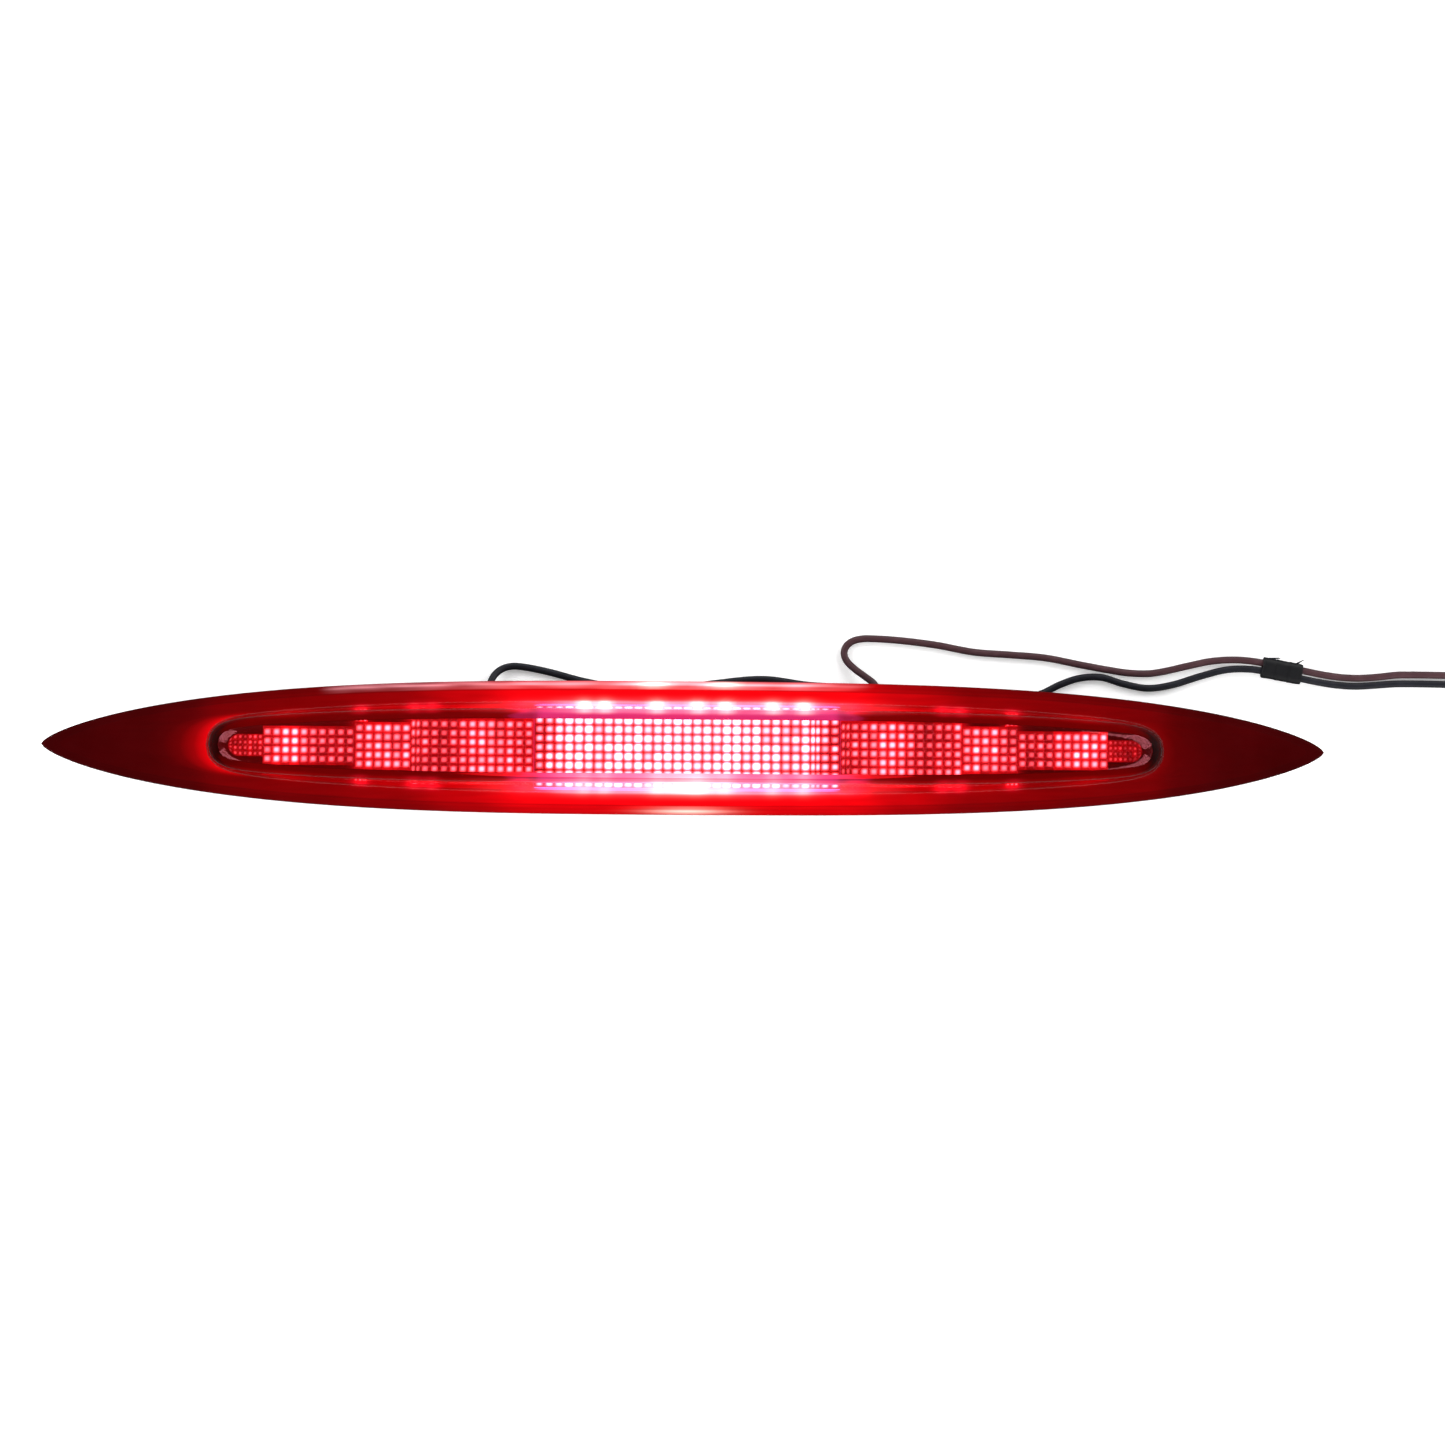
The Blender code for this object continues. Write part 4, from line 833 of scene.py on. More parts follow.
class Pillows:
    """The pattern of one optic: pillow by pillow, how bright each is and which are split in two."""

    def __init__(self, seed, columns, rows, dots, floor):
        chance = random.Random(seed)
        self.columns, self.rows = columns, rows
        self.dots, self.floor = dots, floor
        self.column_light = [chance.uniform(0.75, 1.25) for _ in range(columns)]
        self.light = [[chance.uniform(0.55, 1.15) for _ in range(rows)] for _ in range(columns)]
        self.split = [chance.random() < SPLIT_CHANCE for _ in range(columns)]

    def at(self, i, j, x):
        """Height share and coloured light at a fine grid place, for a lamp place x."""
        column, row = min(i // FINE, self.columns - 1), min(j // FINE, self.rows - 1)
        u = 2 * (i / FINE - column) - 1
        v = 2 * (j / FINE - row) - 1
        if self.split[column]:
            u = 2 * abs(u) - 1
        dome = (1 - u * u) * (1 - v * v)
        width = 0.35 + 0.18 * led_light(x)
        spot = math.exp(-(abs(u) / width) ** 3 - (abs(v) / width) ** 3)
        bright = self.light[column][row] * self.column_light[column] * led_light(x)
        return dome, self.dots * bright ** 1.5 * spot * LED_RED + self.floor * bright * DEEP_RED


def pillow_patch(bm, glow, x_range, y_range_at, pillows, margin=0.0, edge=None):
    """A closed slab topped with pillows, flat within margin of its two long sides."""
    tops, lows = [], []
    lengthwise, across = FINE * pillows.columns, FINE * pillows.rows
    for i in range(lengthwise + 1):
        x = x_range[0] + (x_range[1] - x_range[0]) * i / lengthwise
        low, high = y_range_at(x)
        width = high - low - 2 * margin
        places = [(j, low + margin + width * j / across) for j in range(across + 1)]
        if margin:
            places = [(0, low)] + places + [(across, high)]
        top_row, low_row = [], []
        for j, y in places:
            dome, colour = pillows.at(i, j, x)
            if edge and y in (low, high):
                colour = edge * VIOLET
            vert = bm.verts.new((x, y, OPTIC_TOP - PILLOW_RISE * (1 - dome)))
            vert[glow] = (*colour, 1)
            under = bm.verts.new((x, y, OPTIC_LOW))
            under[glow] = (*(0.3 * pillows.floor * DEEP_RED), 1)
            top_row.append(vert)
            low_row.append(under)
        tops.append(top_row)
        lows.append(low_row)
    close_slab(bm, tops, lows)


def close_slab(bm, tops, lows):
    """Faces over, under and round two equal grids of vertices."""
    long, wide = len(tops), len(tops[0])
    for i in range(long - 1):
        for j in range(wide - 1):
            bm.faces.new((tops[i][j], tops[i + 1][j], tops[i + 1][j + 1], tops[i][j + 1]))
            bm.faces.new((lows[i][j], lows[i][j + 1], lows[i + 1][j + 1], lows[i + 1][j]))
    rim = [(i, 0) for i in range(long)] + [(long - 1, j) for j in range(1, wide)]
    rim += [(i, wide - 1) for i in range(long - 2, -1, -1)] + [(0, j) for j in range(wide - 2, 0, -1)]
    for (i, j), (k, l) in zip(rim, rim[1:] + rim[:1]):
        bm.faces.new((tops[i][j], lows[i][j], lows[k][l], tops[k][l]))


def strip_rows(end):
    """Whole pillow rows that fit in the tray along a stretch up to end."""
    return math.floor(2 * (inner_half_width(end) - STRIP_MARGIN) / PILLOW_PITCH)


def nose_half_width(x):
    """Half width of the strip's narrow nose, which ends in a half circle."""
    straight = RIGHT_HIGH.x - NOSE_HALF_WIDTH
    if abs(x) <= straight:
        return NOSE_HALF_WIDTH
    return math.sqrt(max(NOSE_HALF_WIDTH ** 2 - (abs(x) - straight) ** 2, 1e-8))


def side_optic(name, node, side):
    """A side strip: three stretches of pillows, with a bracket, two pairs of ears and a nose."""
    bm = bmesh.new()
    glow = bm.verts.layers.float_color.new("glow")
    stretches = ((STRIP_START, BIG_EAR_END, strip_rows(BIG_EAR)),
                 (BIG_EAR_END, SMALL_EAR_END, strip_rows(SMALL_EAR)),
                 (SMALL_EAR_END, STRIP_END, strip_rows(STRIP_END)))
    for number, (low, high, rows) in enumerate(stretches):
        half = rows * PILLOW_PITCH / 2 + STRIP_MARGIN
        pillows = Pillows(7 * number + side, round((high - low) / PILLOW_PITCH), rows, *STRIP_GLOW)
        pillow_patch(bm, glow, sorted((side * low, side * high)),
                     lambda x, half=half: (-half, half), pillows, STRIP_MARGIN)
    ears = ((STRIP_START, BRACKET_END, strip_rows(BIG_EAR), BRACKET_GLOW),
            (BIG_EAR, BIG_EAR_END, strip_rows(BIG_EAR), EAR_GLOW),
            (SMALL_EAR, SMALL_EAR_END, strip_rows(SMALL_EAR), EAR_GLOW))
    for low, high, rows, ear_glow in ears:
        inner = rows * PILLOW_PITCH / 2 + STRIP_MARGIN
        outer = inner_half_width(high)
        for edge in (-1, 1):
            pillows = Pillows(round(low * 1e4) + side + edge, *EAR_PILLOWS, *ear_glow)
            pillow_patch(bm, glow, sorted((side * low, side * high)),
                         lambda x, ends=sorted((edge * inner, edge * outer)): ends, pillows)
    pillow_patch(bm, glow, sorted((side * STRIP_END, side * (STRIP_END + NOSE_LENGTH))),
                 lambda x: (-nose_half_width(x), nose_half_width(x)),
                 Pillows(11 + side, *NOSE_PILLOWS, *NOSE_GLOW[side]))
    piece(name, mesh_from(bm, name, 60.0), [LIT_OPTIC], stands_for=[node])


def centre_optic():
    bm = bmesh.new()
    glow = bm.verts.layers.float_color.new("glow")
    half = CENTRE_HIGH.y
    pillows = Pillows(5, round(2 * CENTRE_HALF / CENTRE_PITCH), round(2 * half / PILLOW_PITCH),
                      *CENTRE_GLOW)
    pillow_patch(bm, glow, (-CENTRE_HALF, CENTRE_HALF), lambda x: (-half, half), pillows,
                 STRIP_MARGIN / 2, edge=CENTRE_EDGE_GLOW)
    piece("centre_pillow_optic", mesh_from(bm, "centre_pillow_optic", 60.0), [LIT_OPTIC],
          stands_for=["centre_optic"])


# ---------------------------------------------------------------- tray, board and what is on it

LED_WINDOW_RADIUS = 0.0036
TRAY_RED_LEFT, TRAY_RED_RIGHT, TRAY_VIOLET, TRAY_EAR = 0.5, 0.3, 2.2, 1.2


def tray_light(x):
    """Light that the tray takes up from the optics above it."""
    light = (TRAY_RED_LEFT if x < 0 else TRAY_RED_RIGHT) * along(RED_ALONG, abs(x)) * RED_LIGHT
    light += TRAY_VIOLET * violet_share(x) * VIOLET
    for place, strength in EAR_LIGHTS:
        light += TRAY_EAR * strength * hill(abs(x) - place, EAR_LIGHT_WIDTH) * EAR_LIGHT
    return light


def reflector_tray():
    """The dark tray: a skirt round a plate, with a window over each LED."""
    foot, rim = TRAY_LOW.z, TRAY_HIGH.z
    plate_low = PLATE_TOP - TRAY_PLATE
    outer = TRAY_INNER_INSET - TRAY_WALL
    round_over = 0.00025
    rings = [window_ring(TRAY_INNER_INSET + 0.00030, PLATE_TOP),
             window_ring(TRAY_INNER_INSET + 0.00008, PLATE_TOP + 0.00010),
             window_ring(TRAY_INNER_INSET, PLATE_TOP + 0.00035),
             window_ring(TRAY_INNER_INSET, rim - round_over),
             window_ring(TRAY_INNER_INSET - 0.3 * round_over, rim - 0.3 * round_over),
             window_ring(TRAY_INNER_INSET - round_over, rim),
             window_ring(outer + round_over, rim),
             window_ring(outer + 0.3 * round_over, rim - 0.3 * round_over),
             window_ring(outer, rim - round_over), window_ring(outer, foot),
             window_ring(TRAY_INNER_INSET, foot), window_ring(TRAY_INNER_INSET, plate_low)]
    windows = [(LED_WINDOW_RADIUS, 4 * TRAY_PLATE, (x, 0, PLATE_TOP)) for x in LED_PLACES]
    mesh = combined(ringed_mesh("dark_tray_shell", rings), cylinders("led_windows", windows))
    glow = mesh.attributes.new("glow", "FLOAT_COLOR", "POINT")
    for item, vert in zip(glow.data, mesh.vertices):
        item.color = (*tray_light(vert.co.x), 1)
    piece("dark_tray_shell", mesh, [TRAY_FINISH], stands_for=["reflector_tray"])


def refinish(node, finish):
    """A CAD node whose shape is right keeps it, under a better material."""
    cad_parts[node].data.materials.clear()
    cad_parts[node].data.materials.append(finish)


def keep_small_parts():
    refinish("led_board", BOARD)
    for number in range(1, LED_COUNT + 1):
        refinish(f"led_{number}", LED_FINISH)
    for number in range(1, RESISTOR_COUNT + 1):
        refinish(f"resistor_{number}", CERAMIC)
    refinish("diode", HOUSING_PLASTIC)
    refinish("terminal_brown", TIN)
    refinish("terminal_black", TIN)


def board_screws():
    """Pan-head screws with a cross recess."""
    for number in range(1, SCREW_COUNT + 1):
        node = f"board_screw_{number}"
        low, high, middle = box_and_middle(node)
        head = (high.x - low.x) / 2
        shank = 0.4 * head
        neck = high.z - 0.72 * head
        profile = round_corners([(0.0001, high.z), (0.6 * head, high.z), (head, high.z - 0.36 * head),
                                 (head, neck), (shank, neck), (shank, low.z + shank),
                                 (0.0002, low.z)], 0.0004)
        mesh = turned_mesh(node, profile, Matrix.Translation((middle.x, middle.y, 0)))
        slot_box = ((-0.55 * head, -0.13 * head, -0.3 * head), (0.55 * head, 0.13 * head, head))
        for turn in (0, math.pi / 2):
            place = (Matrix.Translation((middle.x, middle.y, high.z))
                     @ Matrix.Rotation(turn, 4, "Z"))
            mesh = combined(mesh, boxes("recess", [slot_box], place))
        piece(f"cross_screw_{number}", mesh, [STEEL], stands_for=[node])


# ---------------------------------------------------------------- housing, gasket and fixings

GROMMET_BARREL_RADIUS = 0.0022
TAIL_RIBS, TAIL_RADIUS, TAIL_GROOVE = 3, 0.00188, 0.00022
SEAL_INSET, SEAL_WIDTH, SEAL_STEPS = 0.00035, 0.0013, 16
INSERT_BORE, KNURLS, THREAD_PITCH, THREAD_DEPTH = 0.0021, 36, 0.0008, 0.00035
# Bands of the insert: share of its length, share of its radius, knurled or not
INSERT_BANDS = ((0.00, 0.94, 0), (0.04, 1.0, 0), (0.06, 1.0, 1), (0.34, 1.0, 1), (0.36, 0.88, 0),
                (0.62, 0.88, 0), (0.64, 1.0, 1), (0.94, 1.0, 1), (0.96, 1.0, 0), (1.00, 0.94, 0))
INSERT_LENGTH = 0.0045
BOSS_FOOT = 0.0010
BOSS_TOP = BOARD_LOW.z - GAP
SCREW_BOSS_RADIUS, SCREW_HOLE_RADIUS, SCREW_HOLE_DEPTH = 0.0032, 0.0013, 0.0043
INSERT_BOSS_RADIUS, INSERT_HOLE_RADIUS = 0.0056, 0.0037
VENT_HOLE_RADIUS, VENT_HOLE_DEPTH = 0.0023, 0.0040
EJECTOR_MARKS = (-0.120, -0.020, 0.040, 0.100)
EJECTOR_MARK_RADIUS, EJECTOR_MARK_DEPTH = 0.0022, 0.00015


def rear_housing():
    """The black tub: rounded back edge, a parting line round it, bosses and holes."""
    inner = FOOT_INSET + HOUSING_WALL
    top = HOUSING_HIGH.z
    chamfer = 0.0010
    tub_floor = 0.0020
    line = 0.0060
    step = 0.00012
    outside = [(chamfer + 0.0004, 0.0), (0.55 * chamfer, 0.12 * chamfer), (0.12 * chamfer, 0.55 * chamfer),
               (0.0, 1.3 * chamfer), (0.0, line - step), (step, line), (step, line + 1.2 * step),
               (0.0, line + 2.4 * step), (0.0, top - 0.0003), (0.0003, top)]
    rings = [window_ring(FOOT_INSET + inset, height) for inset, height in outside]
    rings += [window_ring(inner - 0.0002, top), window_ring(inner, top - 0.0002),
              window_ring(inner, tub_floor + 0.0006), window_ring(inner + 0.0006, tub_floor)]
    mesh = combined(ringed_mesh("housing_tub", rings), housing_bosses(), "UNION")
    mesh = combined(mesh, housing_holes())
    piece("housing_tub", mesh, [HOUSING_PLASTIC], stands_for=["rear_housing"])


def screw_and_insert_places():
    screws = [middle_of(f"board_screw_{number}").x for number in range(1, SCREW_COUNT + 1)]
    inserts = [middle_of(f"threaded_insert_{side}").x for side in ("left", "right")]
    return screws, inserts


def housing_bosses():
    height, middle = BOSS_TOP - BOSS_FOOT, (BOSS_TOP + BOSS_FOOT) / 2
    screws, inserts = screw_and_insert_places()
    rods = [(SCREW_BOSS_RADIUS, height, (x, 0, middle)) for x in screws]
    rods += [(INSERT_BOSS_RADIUS, height, (x, 0, middle)) for x in inserts]
    return cylinders("bosses", rods)


def housing_holes():
    """Cutters for the screws, inserts, vent and grommets, and the ejector pins' shallow marks."""
    screws, inserts = screw_and_insert_places()
    rods = [(SCREW_HOLE_RADIUS, 2 * SCREW_HOLE_DEPTH, (x, 0, BOSS_TOP)) for x in screws]
    rods += [(INSERT_HOLE_RADIUS, 2 * (INSERT_LENGTH + GAP), (x, 0, 0)) for x in inserts]
    rods.append((VENT_HOLE_RADIUS, 2 * VENT_HOLE_DEPTH, (middle_of("breather_vent").x, 0, 0)))
    for route in (BROWN_ROUTE, BLACK_ROUTE):
        x, _, z = route[0]
        wall = outline_half_width(x) - FOOT_INSET - HOUSING_WALL / 2
        rods.append((GROMMET_BARREL_RADIUS + GAP, 3 * HOUSING_WALL, (x, wall, z), ALONG_Y))
    rods += [(EJECTOR_MARK_RADIUS, 2 * EJECTOR_MARK_DEPTH, (x, 0, 0)) for x in EJECTOR_MARKS]
    return cylinders("holes", rods)


def foam_gasket():
    """A foam strip under the flange, with soft edges."""
    low, high = GASKET_LOW.z, GASKET_HIGH.z
    inner = FOOT_INSET - FIT_GAP
    outer = 0.0016
    soft = 0.00035
    outside = [(outer + soft, low), (outer + 0.3 * soft, low + 0.3 * soft), (outer, low + soft),
               (outer - 0.00012, (low + high) / 2), (outer, high - soft),
               (outer + 0.3 * soft, high - 0.3 * soft), (outer + soft, high)]
    rings = [pointed_ring(inset, height) for inset, height in outside]
    rings += [window_ring(inner, high), window_ring(inner, low)]
    piece("foam_gasket", ringed_mesh("foam_gasket", rings, closed=True), [FOAM],
          stands_for=["body_gasket"])


def seal_bead():
    """The rubbery bead between housing and lens, with rounded sides."""
    low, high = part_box("lens_seal")
    outer = FOOT_INSET + SEAL_INSET
    inner = outer + SEAL_WIDTH
    middle = (outer + inner) / 2
    half, reach = (high.z - low.z) / 2, (inner - outer) / 2
    rings = []
    for i in range(SEAL_STEPS):
        turn = 2 * math.pi * i / SEAL_STEPS
        square = 1 / max(abs(math.cos(turn)), abs(math.sin(turn))) ** 0.7
        rings.append(window_ring(middle + reach * square * math.cos(turn),
                                 low.z + half * (1 + min(1.0, square) * math.sin(turn))))
    piece("seal_bead", ringed_mesh("seal_bead", rings, closed=True), [SEAL_BEAD],
          stands_for=["lens_seal"])


def level_ring(radii, turns, height):
    return [Vector((radius * math.cos(t), radius * math.sin(t), height))
            for radius, t in zip(radii, turns)]


def threaded_insert(side):
    """Brass insert: two knurled bands round it and a threaded bore."""
    node = f"threaded_insert_{side}"
    low, high, middle = box_and_middle(node)
    radius = (high.x - low.x) / 2
    length = high.z - low.z
    around = 4 * KNURLS
    turns = [2 * math.pi * i / around for i in range(around)]
    rings = []
    for share, size, knurled in INSERT_BANDS:
        radii = [radius * size * (1 - 0.05 * knurled * (i % 4 in (1, 2))) for i in range(around)]
        rings.append(level_ring(radii, turns, low.z + share * length))
    count = round(length / THREAD_PITCH) * 2
    for k in range(count, -1, -1):
        tooth = INSERT_BORE + (0.0 if k % 2 else THREAD_DEPTH)
        rings.append(level_ring([tooth] * around, turns, low.z + length * k / count))
    mesh = ringed_mesh(node, rings, closed=True)
    mesh.transform(Matrix.Translation((middle.x, middle.y, 0)))
    piece(f"brass_insert_{side}", mesh, [BRASS], stands_for=[node])


def breather_vent():
    low, high, middle = box_and_middle("breather_vent")
    head, stem, hollow = (high.x - low.x) / 2, 0.0020, 0.0008
    neck = high.z - 0.0010
    hollow_top = low.z + 0.0006
    profile = round_corners([(0.0002, high.z), (head, high.z), (head, neck), (stem, neck),
                             (stem, low.z), (hollow, low.z), (hollow, hollow_top),
                             (0.0001, hollow_top)], 0.00035)
    place = Matrix.Translation((middle.x, middle.y, 0))
    piece("vent_plug", turned_mesh("vent_plug", profile, place), [RUBBER],
          stands_for=["breather_vent"])


def grommet(colour, route):
    """A rubber grommet in the housing's wall: barrel, flange, and a ringed tail round the lead."""
    node = f"wire_grommet_{colour}"
    x, _, z = route[0]
    outside = outline_half_width(x) - FOOT_INSET
    flange, flange_radius, tail = 0.0012, 0.0034, 0.0030
    flange_high = GAP + flange
    tail_end = flange_high + tail
    barrel_end = -HOUSING_WALL - 0.0008
    bore = WIRE_DIAMETER / 2 + 0.00012
    outer = [(bore, tail_end), (TAIL_RADIUS - 0.00003, tail_end)]
    for i in range(TAIL_RIBS):
        start = tail_end - (i + 0.35) * tail / (TAIL_RIBS + 0.4)
        width = TAIL_RADIUS + 0.0001 * i
        outer += [(width, start), (width - TAIL_GROOVE, start - 0.00012),
                  (width - TAIL_GROOVE, start - 0.0004), (width + 0.00006, start - 0.00052)]
    outer += [(GROMMET_BARREL_RADIUS, flange_high), (flange_radius, flange_high), (flange_radius, GAP),
              (GROMMET_BARREL_RADIUS, GAP), (GROMMET_BARREL_RADIUS, barrel_end), (bore, barrel_end)]
    place = Matrix.Translation((x, outside, z)) @ Matrix.Rotation(-math.pi / 2, 4, "X")
    mesh = turned_mesh(node, round_corners(outer, 0.0002, 3), place, closed=True)
    return piece(f"grommet_{colour}", mesh, [RUBBER], stands_for=[node])


# ---------------------------------------------------------------- leads, tape and connector

def smooth_route(route, pieces_each=8):
    """Points on a smooth curve through the route's own points."""
    points = [Vector(point) for point in route]
    padded = [2 * points[0] - points[1]] + points + [2 * points[-1] - points[-2]]
    fine = []
    for before, start, end, after in zip(padded, padded[1:], padded[2:], padded[3:]):
        span = (end - start).length
        leave = (end - before) * span / ((start - before).length + span)
        arrive = (after - start) * span / ((after - end).length + span)
        for i in range(pieces_each):
            t = i / pieces_each
            fine.append((2 * t ** 3 - 3 * t ** 2 + 1) * start + (t ** 3 - 2 * t ** 2 + t) * leave
                        + (3 * t ** 2 - 2 * t ** 3) * end + (t ** 3 - t ** 2) * arrive)
    return fine + [points[-1]]


def lead(colour, route, finish):
    """A lead as a round tube on a smooth curve along its route."""
    points = smooth_route(route)
    curve = bpy.data.curves.new(f"{colour}_lead", "CURVE")
    curve.dimensions = "3D"
    curve.bevel_depth = WIRE_DIAMETER / 2
    curve.bevel_resolution = 6
    curve.use_fill_caps = True
    spline = curve.splines.new("POLY")
    spline.points.add(len(points) - 1)
    for target, point in zip(spline.points, points):
        target.co = (*point, 1)
    spline.use_smooth = True
    made = piece(f"{colour}_lead", curve, [finish],
                 stands_for=[f"{colour}_wire"])
    return made, sum((end - start).length for start, end in zip(points, points[1:]))


def stadium(half_span, radius, arc_steps=14):
    """Closed outline of (x, y) points: two half circles, half_span either side of the middle."""
    points = []
    for side, start in ((1, -90), (-1, 90)):
        for i in range(arc_steps + 1):
            turn = math.radians(start + 180 * i / arc_steps)
            points.append((side * half_span + radius * math.cos(turn), radius * math.sin(turn)))
    return points


WRAP_MIDDLE = (0.1938, 0.0274, 0.0025)
WRAP_TURN = math.radians(-10.3)
WRAP_LENGTH = 0.0130
WRAP_THICKNESS = 0.0007
WRAP_CORNERS = (
    (-0.0050, math.radians(14), (0.0042, 0.0006, 0.0022)),
    (0.0042, math.radians(38), (0.0034, 0.0006, 0.0018)),
)
WRAP_SINK = 0.0004
WRAP_SLICES = 40
WRAP_TURNS = 3
WRAP_STEP = 0.00016
WRAP_END_ROUND = 0.0002
WRAP_CREASE = 0.00007
CREASE_LENGTH, CREASE_WIDTH = 0.0012, 0.0007
TAB_OUTLINE = ((0, -0.5), (1, -0.28), (0.8, 0.5), (0, 0.5))


def tape_corner(place, size):
    """One lifted corner of the tape: a thin blade with rounded edges."""
    tab = bmesh.new()
    low, high = [[tab.verts.new((x * size[0], y * (1 - 0.6 * x), z * size[2])) for x, z in TAB_OUTLINE]
                 for y in (-size[1] / 2, size[1] / 2)]
    tab.faces.new(low)
    tab.faces.new(reversed(high))
    for i in range(4):
        tab.faces.new((low[i], high[i], high[(i + 1) % 4], low[(i + 1) % 4]))
    tab.transform(place)
    return rounded(mesh_from(tab, "tape_corner"), 0.0001, 2)


def tape_wrap():
    """Tape wound round both leads: overlapping turns, a creased skin and two lifted corners."""
    half_span = (WIRE_DIAMETER + GAP) / 2
    inside = WIRE_DIAMETER / 2 + 0.0001
    outside = WIRE_DIAMETER / 2 + GAP + WRAP_THICKNESS
    place = Matrix.Translation(WRAP_MIDDLE) @ Matrix.Rotation(WRAP_TURN, 4, "Z")
    rings = [[Vector((-WRAP_LENGTH / 2, y, z)) for y, z in stadium(half_span, inside)]]
    for i in range(WRAP_SLICES + 1):
        along_wrap = WRAP_LENGTH * (i / WRAP_SLICES - 0.5)
        turn_share = (WRAP_TURNS * i / WRAP_SLICES) % 1.0
        end_round = WRAP_END_ROUND if i in (0, WRAP_SLICES) else 0.0
        radius = outside - WRAP_STEP * turn_share - end_round
        ring = []
        for y, z in stadium(half_span, radius):
            crease = WRAP_CREASE * noise.noise(Vector((along_wrap / CREASE_LENGTH, y / CREASE_WIDTH,
                                                       z / CREASE_WIDTH)))
            ring.append(Vector((along_wrap, y * (1 + crease / radius), z * (1 + crease / radius))))
        rings.append(ring)
    rings.append([Vector((WRAP_LENGTH / 2, y, z)) for y, z in stadium(half_span, inside)])
    bm = bmesh.new()
    rows_into(bm, [[place @ point for point in ring] for ring in rings], closed=True)
    mesh = mesh_from(bm, "black_tape_wrap", 50.0)
    for start, lift, size in WRAP_CORNERS:
        root = place @ Matrix.Translation((start, half_span + outside - WRAP_SINK, 0))
        mesh = combined(mesh, tape_corner(root @ Matrix.Rotation(lift, 4, "Z"), size), "UNION")
    return piece("black_tape_wrap", mesh, [TAPE], stands_for=["tape_wrap"])


def extruded(name, section, x_low, x_high):
    """A solid along X from a closed (y, z) section."""
    bm = bmesh.new()
    near = [bm.verts.new((x_low, y, z)) for y, z in section]
    far = [bm.verts.new((x_high, y, z)) for y, z in section]
    for i in range(len(section)):
        j = (i + 1) % len(section)
        bm.faces.new((near[i], near[j], far[j], far[i]))
    bm.faces.new(list(reversed(near)))
    bm.faces.new(far)
    return mesh_from(bm, name)


RAIL_HALF_SPAN = 0.0033
RAIL_WALL = 0.0012
RAIL_LIP = 0.0008
RAIL_HEIGHT = 0.0024
LOCK_CLEARANCE = 0.0004
LOCK_TRAVEL = 0.0030
WIRE_INSERTION = 0.0080
CONNECTOR_MIDDLE = (CONNECTOR_LOW.y + CONNECTOR_HIGH.y) / 2
SEAL_BORE_RADIUS = 0.0022
CAVITY_HALF_WIDTH, CAVITY_HALF_HEIGHT = 0.0015, 0.0011
GROOVES, GROOVE_START, GROOVE_PITCH, GROOVE_WIDTH = 4, 0.0040, 0.0042, 0.0021
GROOVE_DEPTH, GROOVE_MARGIN = 0.0004, 0.0016
GRIPS, GRIP_REACH = 3, 0.004
SEAL_BANDS = 5


def mirrored(right):
    """A closed (y, z) section about the connector's middle, from the points of one side."""
    return [(CONNECTOR_MIDDLE + y, z) for y, z in right + [(-y, z) for y, z in reversed(right)]]


def connector_cutters(top):
    """The seal bores, the terminals' cavities and the grooves in both sides."""
    back, front = CONNECTOR_LOW.x, CONNECTOR_HIGH.x
    ends = [route[-1] for route in (BROWN_ROUTE, BLACK_ROUTE)]
    bores = [(SEAL_BORE_RADIUS, 2 * (WIRE_INSERTION + GAP), (back, y, z), ALONG_X) for _, y, z in ends]
    cavities = [((back, y - CAVITY_HALF_WIDTH, z - CAVITY_HALF_HEIGHT),
                 (front + 0.001, y + CAVITY_HALF_WIDTH, z + CAVITY_HALF_HEIGHT)) for _, y, z in ends]
    starts = [back + GROOVE_START + GROOVE_PITCH * i for i in range(GROOVES)]
    grooves = [((start, edge - GROOVE_DEPTH, CONNECTOR_LOW.z + GROOVE_MARGIN),
                (start + GROOVE_WIDTH, edge + GROOVE_DEPTH, top - GROOVE_MARGIN))
               for edge in (CONNECTOR_LOW.y, CONNECTOR_HIGH.y) for start in starts]
    return cylinders("seal_bores", bores), boxes("cavities", cavities), boxes("grooves", grooves)


def connector_housing():
    """A two-way connector body with rails on top, ribbed sides, seal bores and cavities."""
    low, top = CONNECTOR_LOW.z, CONNECTOR_HIGH.z - RAIL_HEIGHT
    side = (CONNECTOR_HIGH.y - CONNECTOR_LOW.y) / 2
    rail_top = CONNECTOR_HIGH.z
    lip = RAIL_HALF_SPAN - RAIL_LIP
    section = mirrored([(side, low), (side, top), (RAIL_HALF_SPAN + RAIL_WALL, top),
                        (RAIL_HALF_SPAN + RAIL_WALL, rail_top), (lip, rail_top),
                        (lip, rail_top - RAIL_LIP), (RAIL_HALF_SPAN, rail_top - RAIL_LIP),
                        (RAIL_HALF_SPAN, top)])
    stop_x = LOCK_HIGH.x + LOCK_TRAVEL + LOCK_CLEARANCE
    stop_half = RAIL_HALF_SPAN + RAIL_WALL / 2
    stop = ((stop_x, CONNECTOR_MIDDLE - stop_half, top - RAIL_LIP / 2),
            (stop_x + RAIL_WALL, CONNECTOR_MIDDLE + stop_half, rail_top - RAIL_LIP))
    mesh = extruded("plug_body", section, CONNECTOR_LOW.x, CONNECTOR_HIGH.x)
    mesh = rounded(combined(mesh, boxes("stop", [stop]), "UNION"), 0.0003)
    for cutter in connector_cutters(top):
        mesh = combined(mesh, cutter)
    return piece("plug_body", mesh, [GREY_PLASTIC],
                 stands_for=["connector_housing"])


